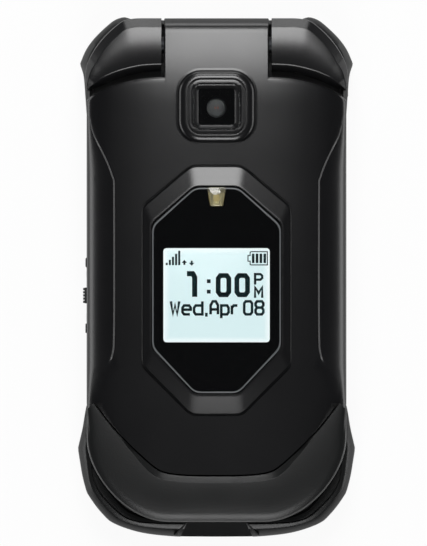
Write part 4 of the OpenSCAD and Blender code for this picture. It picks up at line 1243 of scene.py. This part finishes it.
@dataclass
class Shoulders:
    """The two blocks beside the hinge barrel, bevelled round their outer curve."""

    size: Sizes
    inner_x: float = 11.7
    bevel: float = 2.0
    lip: float = 1.3

    def lines(self) -> tuple[list[Flat], list[Flat]]:
        """Gives the right shoulder's lower edge and its outer edge, from the barrel to the side."""
        size, x = self.size, self.inner_x
        half, top, low = size.half_w, size.base_top_y, size.base_top_y - 11.1
        lower = flowing([(x, low), (16.0, low - 0.25), (20.5, low - 1.35), (24.5, low - 3.0),
                         (half - 0.3, low - 4.2)], 6)
        outer = [(x, top)] + flowing([
            (16.4, top), (17.9, top - 0.12), (19.9, top - 0.6), (22.2, top - 2.4), (24.5, top - 4.8),
            (26.35, top - 7.4), (27.4, top - 9.6), (half, top - 11.2), (half, top - 13.5),
            (half - 0.15, top - 15.1)], 5)
        return lower, outer

    def form(self, side: Side) -> Form:
        """Builds one shoulder."""
        deck, top = self.size.deck_z, box_mm("shoulder_right")[1][2]
        rings = []
        for rung in rungs(*self.lines(), 48):
            out, back = rung.out, rung.back
            band, lip = min(self.bevel, rung.run * 0.3), min(self.lip, rung.run * 0.2)
            drop = min(1.7, band)
            rings.append(side.turned([
                out(0.0, deck), out(0.0, top - 1.5), out(lip * 0.1, top - 1.25), out(lip * 0.85, top - 0.18),
                out(lip, top - 0.06), out(lip * 1.2, top), back(band + 0.12, top),
                back(band - 0.05, top - 0.05), back(0.12, top - drop * 0.9), back(0.03, top - drop),
                back(0.0, top - drop - 0.2),
                back(0.0, deck)]))
        return Form().loft(rings, start=True, end=True)

    def build(self) -> None:
        """Makes both shoulders."""
        for side in Side:
            piece(f"hinge_shoulder_{side.word}", self.form(side), LID_BLACK, Body.BASE,
                  [f"shoulder_{side.word}"], sharp=20)


@dataclass
class Bumpers:
    """The soft guards round the phone's upper corners and its lower end."""

    size: Sizes
    notch: float = 6.0
    notch_outer: float = 8.2
    notch_depth: float = 4.0
    sink: float = 1.35
    # Width of the pale strips that paint the highlight on the notch's walls
    strut: float = 0.45

    def corner_rings(self) -> list[list[Spot]]:
        """Gives the slices of the right corner guard, from the end to the side."""
        top, half, end = self.size.top_y, self.size.half_w, self.size.base_top_y
        seat, wall = end - self.sink, half - self.sink
        outer = flowing([(half - 9.9, end), (half - 9.0, top - 0.25), (half - 7.8, top),
                         (half - 6.0, top - 0.6), (half - 4.3, top - 1.9), (half - 1.7, top - 4.4),
                         (half + 0.2, top - 7.0),
                         (half + 1.5, top - 10.0)], 5)
        outer += flowing([(half + 1.5, top - 10.0), (half + 0.7, top - 12.5), (half + 0.35, top - 16.4),
                          (half + 0.02, top - 20.9)], 5)[1:]
        inner = flowing([(half - 9.9, seat), (half - 8.4, seat - 0.2), (half - 6.2, seat - 1.0),
                         (half - 4.2, seat - 2.8), (half - 2.4, seat - 5.6), (wall - 0.2, top - 9.6),
                         (wall, top - 12.0), (wall, top - 20.9)], 6)
        z0, z1 = box_mm("bottom_bumper")[0][2], self.size.deck_z - 0.2
        slices = []
        for rung in rungs(inner, outer, 44):
            back, bev = rung.back, min(1.9, rung.run * 0.55)
            slices.append([(*rung.inner, z0), back(bev, z0), back(bev * 0.35, z0 + bev * 0.5),
                           back(0.0, z0 + bev * 1.3), back(0.0, z1 - bev * 1.5),
                           back(bev * 0.12, z1 - bev * 1.1), back(bev * 0.9, z1 - 0.12),
                           back(bev * 1.08, z1), (*rung.inner, z1)])
        return slices

    def corner(self, side: Side) -> Form:
        """Builds one corner guard."""
        return Form().loft([side.turned(ring) for ring in self.corner_rings()], start=True, end=True)

    def lower_lines(self) -> tuple[list[Flat], list[Flat], list[Flat]]:
        """Gives the lower guard's seat, parting line and outer edge, the right half from the middle."""
        low, half = self.size.bottom_y, self.size.half_w
        outer = flowing([(0.0, low), (3.5, low + 0.02), (9.6, low + 0.15), (half - 11.4, low + 1.0),
                         (22.0, low + 2.95), (24.3, low + 4.9), (26.1, low + 7.1), (half, low + 9.5)], 6)
        outer += flowing([(half, low + 9.5), (28.6, low + 12.9), (29.2, low + 16.4),
                          (half + 1.9, low + 18.9)], 4)[1:]
        outer += flowing([(half + 1.9, low + 18.9), (29.35, low + 20.0), (28.6, low + 23.2),
                          (28.1, low + 26.2), (half + 0.02, low + 28.1)], 4)[1:]
        parting = flowing([(0.0, low + 3.0), (8.8, low + 3.0), (13.3, low + 3.1), (16.7, low + 3.4),
                           (19.6, low + 4.4), (22.3, low + 6.7), (24.6, low + 9.2), (26.1, low + 12.1),
                           (26.5, low + 15.2), (26.7, low + 19.5), (26.9, low + 28.1)], 6)
        seat = flowing([(0.0, low + 4.35), (14.0, low + 4.4), (16.8, low + 4.9), (19.8, low + 6.6),
                        (22.6, low + 10.2), (24.0, low + 13.5), (25.2, low + 18.9), (25.8, low + 23.2),
                        (26.2, low + 28.1)], 6)
        return seat, parting, outer

    def lower(self) -> Form:
        """Builds the lower guard with its parting groove and its sloping outer band."""
        z0, lip = [corner[2] for corner in box_mm("bottom_bumper")]
        seat, parting, outer = self.lower_lines()
        half = []
        for zone, band in zip(rungs(seat, parting, 60), rungs(parting, outer, 60)):
            near, out, back = zone.out, band.out, band.back
            bev = min(2.0, band.run * 0.6)
            half.append([(*zone.inner, z0), (*zone.inner, lip - 0.6), near(zone.run * 0.25, lip - 0.18),
                         near(zone.run * 0.6, lip - 0.04), zone.back(0.16, lip), zone.back(0.1, lip - 0.1),
                         zone.back(0.1, lip - 0.6), out(0.1, lip - 0.6), out(0.1, lip - 0.12),
                         out(0.18, lip - 0.02), back(bev * 1.05, lip - 0.15), back(bev * 0.9, lip - 0.3),
                         back(bev * 0.12, lip - bev * 1.05), back(0.0, lip - bev * 1.4),
                         back(0.0, z0 + bev * 1.3), back(bev * 0.35, z0 + bev * 0.5), back(bev, z0)])
        return Form().loft(whole(half), start=True, end=True)

    def build(self) -> None:
        """Makes the corner guards, the lower guard, its thumb notch and two pale strips along the notch's
        walls, which paint their highlight.
        """
        size = self.size
        for side in Side:
            made = piece(f"corner_guard_{side.word}", self.corner(side), BUMPER, Body.BASE,
                         [f"corner_bumper_{side.word}"], sharp=26)
            if side is Side.RIGHT:
                low, high = box_mm("headset_cover")
                cut(made, Form().box((size.half_w - 4, low[1] - 0.2, low[2] - 0.2),
                                     (size.half_w + 4, high[1] + 0.2, high[2] + 0.2)))
        guard = piece("lower_guard", self.lower(), BUMPER, Body.BASE, ["bottom_bumper"],
                      sharp=26)
        lip, end = box_mm("bottom_bumper")[1][2], size.bottom_y
        notch = [(-self.notch_outer, end - 1.0), (self.notch_outer, end - 1.0), (self.notch, end + 3.7),
                 (-self.notch, end + 3.7)]
        cut(guard, Form().slab(notch, lip - self.notch_depth, lip + 1))
        chin = both_halves([(x + (0.35 if x > 1 else 0), y - 0.35) for x, y in Lid(size).foot()])
        cut(guard, Form().slab(chin, size.deck_z - 0.05, lip + 1))
        # Two pale strips along the notch's walls: a painted highlight, standing for the light that the walls
        # catch
        wall_highlight_strips = Form()
        near, far, y0, y1 = self.notch + 0.15, self.notch_outer + 0.2, end + 3.2, end + 0.5
        quad = [(near, y0), (far, y1), (far + self.strut * 1.5, y1), (near + self.strut, y0)]
        for turned in ([(-x, y) for x, y in reversed(quad)], quad):
            wall_highlight_strips.slab(turned, lip - 2.5, lip - 0.02, 0.1)
        piece("notch_struts", wall_highlight_strips, COVER, Body.BASE)


# ---- Keys ----


class Aligned(Enum):
    """Where on its place a print stands; the values are Blender's own words."""

    MIDDLE = "CENTER"
    START = "LEFT"


def lettering(name: str, words: str, place: Spot, height: float, body: str,
              aligned: Aligned = Aligned.MIDDLE) -> bpy.types.Object:
    """Prints plain figures or letters on a key with the built-in font.

    Args:
        name: Name of the piece.
        words: Characters to print.
        place: Middle of the print, or its left end, on the surface.
        height: Height of the font in millimetres.
        body: Key that it moves with.
        aligned: How it stands on its place.

    Returns:
        The new text object.
    """
    text = bpy.data.curves.new(name, "FONT")
    text.body = words
    text.size = height * MM
    text.align_x, text.align_y = aligned.value, "CENTER"
    text.extrude = INK_THICK * MM
    text.materials.append(INK_PALE.build())
    made = bpy.data.objects.new(name, text)
    made.location = [c * MM for c in place]
    bpy.context.collection.objects.link(made)
    bpy.context.view_layer.update()
    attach(made, body)
    return made


@dataclass
class Keypad:
    """Number keys, function keys and the four-way ring, with their printed legends."""

    size: Sizes
    key_edge: float = 0.18
    ring_edge: float = 0.12
    figure: float = 6.0
    letter: float = 2.5
    letter_small: float = 2.2
    letters: dict[str, str] = field(default_factory=lambda: {
        "1": "", "2": "ABC", "3": "DEF", "4": "GHI", "5": "JKL", "6": "MNO", "7": "PQRS", "8": "TUV",
        "9": "WXYZ", "star": "", "0": "+", "hash": ""})

    def top(self, node: str) -> Spot:
        """Gives the middle of a key's upper face, just clear of it."""
        return (*middle_of(node), box_mm(node)[1][2] + 0.012)

    def build(self) -> None:
        """Makes the number keys, the other keys and the ring's arrows."""
        self.numbers()
        self.functions()
        self.arrows()

    def numbers(self) -> None:
        """Dresses the number keys and prints their figures and letters."""
        for word, small in self.letters.items():
            node = f"key_{word}"
            polished(node, KEYCAP, self.key_edge)
            x, y, z = self.top(node)
            figure = {"star": "*", "hash": "#"}.get(word, word)
            drop = -0.9 if word == "star" else 0.0
            shift = -2.9 if small else 0.0
            lettering(f"legend_{word}", figure, (x + shift, y + drop, z), self.figure, node)
            if small:
                height = self.letter if len(small) < 4 else self.letter_small
                lettering(f"letters_{word}", small, (x - 0.6, y - 0.3, z), height, node, Aligned.START)

    def functions(self) -> None:
        """Dresses the other keys and the ring, and prints the marks of the keys."""
        for word, finish in (("soft_left", KEYCAP), ("soft_right", KEYCAP), ("clear", KEYCAP),
                             ("send", KEY_GREEN), ("end", KEY_RED), ("ok", KEYCAP)):
            polished(f"{word}_key", finish, self.key_edge)
        polished("nav_ring", RING_GREY, self.ring_edge)
        lettering("legend_clear", "C", self.top("clear_key"), 4.6, "clear_key")
        lettering("legend_ok", "OK", self.top("ok_key"), 3.0, "ok_key")
        for word, lean, slot in (("send", 35.0, "key_green"), ("end", 180.0, "key_red")):
            mark = self.handset(self.top(f"{word}_key"), lean)
            piece(f"handset_{word}", mark, INK_PALE, f"{word}_key", sharp=60)
        for word in ("soft_left", "soft_right"):
            x, y, z = self.top(f"{word}_key")
            bar = Form().slab(round_box(3.4, 0.7, 0.34, 4, (x, y)), z - 0.01, z + 0.01)
            piece(f"bar_{word}", bar, INK_PALE, f"{word}_key", sharp=60)

    def arrows(self) -> None:
        """Prints the four arrows of the ring."""
        x, y, z = self.top("nav_ring")
        arrows = Form()
        for turn in range(4):
            a = math.radians(90 * turn)
            spots = [(x + u * math.cos(a) - v * math.sin(a), y + u * math.sin(a) + v * math.cos(a))
                     for u, v in ((-0.75, 6.0), (0.75, 6.0), (0.0, 7.0))]
            arrows.slab(spots, z - 0.26, z - 0.22)
        piece("ring_arrows", arrows, INK_PALE, "nav_ring", sharp=60)

    def handset(self, middle: Spot, lean: float) -> Form:
        """Draws the plain handset mark of the send and end keys, leaning by some degrees."""
        cx, cy, z = middle
        cos, sin = math.cos(math.radians(lean)), math.sin(math.radians(lean))
        spine = bend((-2.3, -0.6), (-1.3, 1.2), (1.3, 1.2), (2.3, -0.6), 14)
        rings = []
        for i, (x, y) in enumerate(spine):
            reach = 0.7 * (0.75 if abs(i - 7) > 4 else 0.42)
            corners = ((y + reach, z), (y - reach, z), (y - reach, z + 0.015), (y + reach, z + 0.015))
            rings.append([(cx + x * cos - v * sin, cy + x * sin + v * cos, level) for v, level in corners])
        return Form().loft(rings, start=True, end=True)


@dataclass
class Sides:
    """Keys on the left side and rubber covers over the sockets on the right."""

    size: Sizes

    def build(self) -> None:
        """Dresses the side keys and covers and raises the marks of the volume keys."""
        for node in ("volume_up_key", "speaker_key", "volume_down_key"):
            polished(node, COVER, 0.14)
        for node in ("usb_cover", "headset_cover"):
            polished(node, COVER, 0.16)
        self.mark("volume_up_key", 0.9, ((0.75, 0.14), (0.14, 0.75)))
        self.mark("volume_down_key", -0.9, ((0.75, 0.14),))
        low, high = box_mm("usb_cover")
        grip = Form()
        for i in range(3):
            y = high[1] - 1.2 - i * 0.8
            grip.loft([[(high[0] - 0.02, y, foot), (high[0] - 0.02, y + 0.35, foot),
                        (high[0] + 0.12, y + 0.18, tip)]
                       for foot, tip in ((low[2] + 1.6, low[2] + 1.7), (high[2] - 1.6, high[2] - 1.7))],
                      start=True, end=True)
        piece("usb_cover_grip", grip, COVER, "usb_cover", sharp=50)

    def mark(self, node: str, inset: float, arms: Sequence[Flat]) -> None:
        """Raises the plus or minus mark of a volume key.

        Args:
            node: The key.
            inset: How far below the key's middle the mark stands along Y.
            arms: Half width and half height of each bar.
        """
        low, high = box_mm(node)
        x, y, z = -self.size.half_w - 0.1, middle_of(node)[1] - inset, (low[2] + high[2]) / 2
        mark = Form()
        for ry, rz in arms:
            corners = [(y - ry, z - rz), (y + ry, z - rz), (y + ry, z + rz), (y - ry, z + rz)]
            mark.loft([[(place, v, w) for v, w in corners] for place in (x + 0.02, x - 0.08)],
                      start=True, end=True)
        piece(f"mark_{node}", mark, KEYCAP, node, sharp=50)


# ---- Case, back and inside ----


@dataclass
class Case:
    """Casing, back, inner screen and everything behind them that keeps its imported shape."""

    size: Sizes
    slots: int = 17
    slot_pitch: float = 0.5375
    slot_half: Flat = (0.12, 0.6)
    finishes: dict[str, tuple[Moulded, float]] = field(default_factory=lambda: {
        "rear_casing": (CASE_BLACK, 0.25), "keypad_deck": (CASE_BLACK, 0.2),
        "battery_cover": (CASE_BLACK, 0.25),
        "battery_seal": (SEAL_RED, 0.0), "battery": (FILM_GREY, 0.3), "main_board": (BOARD_GREEN, 0.0),
        "dome_sheet": (STEEL, 0.0), "loudspeaker": (NYLON_GREY, 0.2), "usb_socket": (STEEL, 0.08),
        "headset_socket": (NYLON_GREY, 0.1), "case_screws": (STEEL, 0.08), "hinge_pin": (STEEL_DARK, 0.1),
        "cover_lock": (LOCK_ZINC, 0.14), "lid_inner_bezel": (CASE_BLACK, 0.18),
        "main_window": (DARK_ACRYLIC, 0.12),
        "main_display": (NYLON_GREY, 0.0), "camera_module": (NYLON_GREY, 0.1), "lid_frame": (STEEL, 0.0),
        "lid_board": (BOARD_GREEN, 0.0), "earpiece": (NYLON_GREY, 0.1), "lid_pads": (COVER, 0.1),
        "hinge_module": (STEEL_DARK, 0.1)})

    def build(self) -> None:
        """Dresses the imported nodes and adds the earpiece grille."""
        for node, (finish, bevel) in self.finishes.items():
            polished(node, finish, bevel)
        y, z = middle_of("earpiece")[1], self.size.lid_z + 0.35
        grille, (wide, long) = Form(), self.slot_half
        for i in range(self.slots):
            x = (i - (self.slots - 1) / 2) * self.slot_pitch
            grille.box((x - wide, y - long, z), (x + wide, y + long, z + 0.3))
        piece("earpiece_grille", grille, STEEL, Body.LID, sharp=50)


# ---- Studio ----


@dataclass(frozen=True)
class SoftBox:
    """A rectangular soft box: its place, aim and size in metres and its power in watts."""

    name: str
    place: Spot
    aim: Spot
    size: Flat
    power: float

    def hang(self) -> None:
        """Adds the light, turned to its aim."""
        lamp = bpy.data.lights.new(self.name, "AREA")
        lamp.shape, lamp.energy = "RECTANGLE", self.power
        lamp.size, lamp.size_y = self.size
        made = bpy.data.objects.new(self.name, lamp)
        made.location = self.place
        made.rotation_euler = (Vector(self.aim) - Vector(self.place)).to_track_quat("-Z", "Y").to_euler()
        bpy.context.collection.objects.link(made)


@dataclass
class Studio:
    """Pale floor, soft light and a camera straight above the closed phone, as in the photograph."""

    photo_w: float = 427.0
    photo_h: float = 546.0
    phone_px: float = 519.0
    centre_px: Flat = (216.5, 277.05)
    lens: float = 350.0
    sensor: float = 36.0
    floor_reach: float = 4.0
    floor_grey: float = 0.78
    floor_white: float = 0.92
    sky: tuple[float, float, float, float] = (0.9, 0.93, 1.0, 1.0)
    sky_strength: float = 0.06
    boxes: tuple[SoftBox, ...] = (
        SoftBox("far_box", (0.0, 0.24, 0.57), (0.0, 0.04, 0.0), (0.2, 0.24), 1.9),
        SoftBox("far_low", (0.0, 0.55, 0.42), (0.0, 0.02, 0.01), (0.3, 0.14), 1.15),
        SoftBox("back_strip", (0.0, 0.62, 0.075), (0.0, 0.05, 0.015), (0.5, 0.12), 0.9),
        SoftBox("near_box", (0.0, -0.43, 0.54), (0.0, -0.03, 0.0), (0.34, 0.22), 2.2),
        SoftBox("left_strip", (-0.6, 0.0, 0.08), (0.0, 0.0, 0.01), (0.7, 0.13), 1.3),
        SoftBox("right_strip", (0.6, 0.0, 0.08), (0.0, 0.0, 0.01), (0.7, 0.13), 1.3))

    def floor(self) -> None:
        """Lays the floor: pale, with the phone's shadow, and close to white behind the phone."""
        mesh = bpy.data.meshes.new("floor")
        reach, low = self.floor_reach, -0.02 * MM
        mesh.from_pydata([(-reach, -reach, low), (reach, -reach, low), (reach, reach, low),
                          (-reach, reach, low)], [], [(0, 1, 2, 3)])
        made = bpy.data.objects.new("floor", mesh)
        bpy.context.collection.objects.link(made)
        paper = bpy.data.materials.new("studio_paper")
        paper.use_nodes = True
        tree = paper.node_tree
        tree.nodes.clear()
        rays = add_node(tree, "ShaderNodeLightPath")
        seen = add_node(tree, "ShaderNodeMath", {"operation": "MAXIMUM"}, {
            0: rays.outputs["Is Camera Ray"], 1: rays.outputs["Is Glossy Ray"]})
        seen = add_node(tree, "ShaderNodeMath", {"operation": "MAXIMUM"}, {
            0: seen.outputs[0], 1: rays.outputs["Is Transmission Ray"]})
        share = add_node(tree, "ShaderNodeMath", {"operation": "MULTIPLY"}, {
            0: seen.outputs[0], 1: self.floor_white})
        matt = add_node(tree, "ShaderNodeBsdfDiffuse", inputs={"Color": (*[self.floor_grey] * 3, 1)})
        white = add_node(tree, "ShaderNodeEmission", inputs={"Color": (1, 1, 1, 1), "Strength": 1.0})
        mixed = add_node(tree, "ShaderNodeMixShader", inputs={
            0: share.outputs[0], 1: matt.outputs[0], 2: white.outputs[0]})
        add_node(tree, "ShaderNodeOutputMaterial", inputs={"Surface": mixed.outputs[0]})
        mesh.materials.append(paper)

    def build(self) -> None:
        """Sets up floor, world, lights, camera and the plain view."""
        self.floor()
        scene = bpy.context.scene
        world = bpy.data.worlds.new("studio")
        world.use_nodes = True
        background = world.node_tree.nodes["Background"]
        background.inputs[0].default_value = self.sky
        background.inputs[1].default_value = self.sky_strength
        scene.world = world
        for box in self.boxes:
            box.hang()
        lens = bpy.data.cameras.new("camera")
        lens.lens, lens.sensor_width, lens.clip_end = self.lens, self.sensor, 50.0
        scale = (CAD_BOX[1][1] - CAD_BOX[0][1]) / self.phone_px
        distance = scale * self.photo_h * self.lens / self.sensor
        seen = bpy.data.objects.new("camera", lens)
        seen.location = ((self.photo_w / 2 - self.centre_px[0]) * scale,
                         (self.centre_px[1] - self.photo_h / 2) * scale, distance + 0.4 * CAD_BOX[1][2])
        bpy.context.collection.objects.link(seen)
        scene.camera = seen
        scene.view_settings.view_transform = "Standard"


def main() -> None:
    """Builds the phone and the studio in order."""
    logging.basicConfig(level=logging.INFO, format="%(name)s: %(message)s")
    size = Sizes()
    for assembly in (Lid(size), OuterWindow(size), CameraEye(size), Shoulders(size), Bumpers(size),
                     Keypad(size), Sides(size), Case(size), Studio()):
        assembly.build()
        LOG.info("%s done", type(assembly).__name__)


if __name__ == "__main__":
    main()
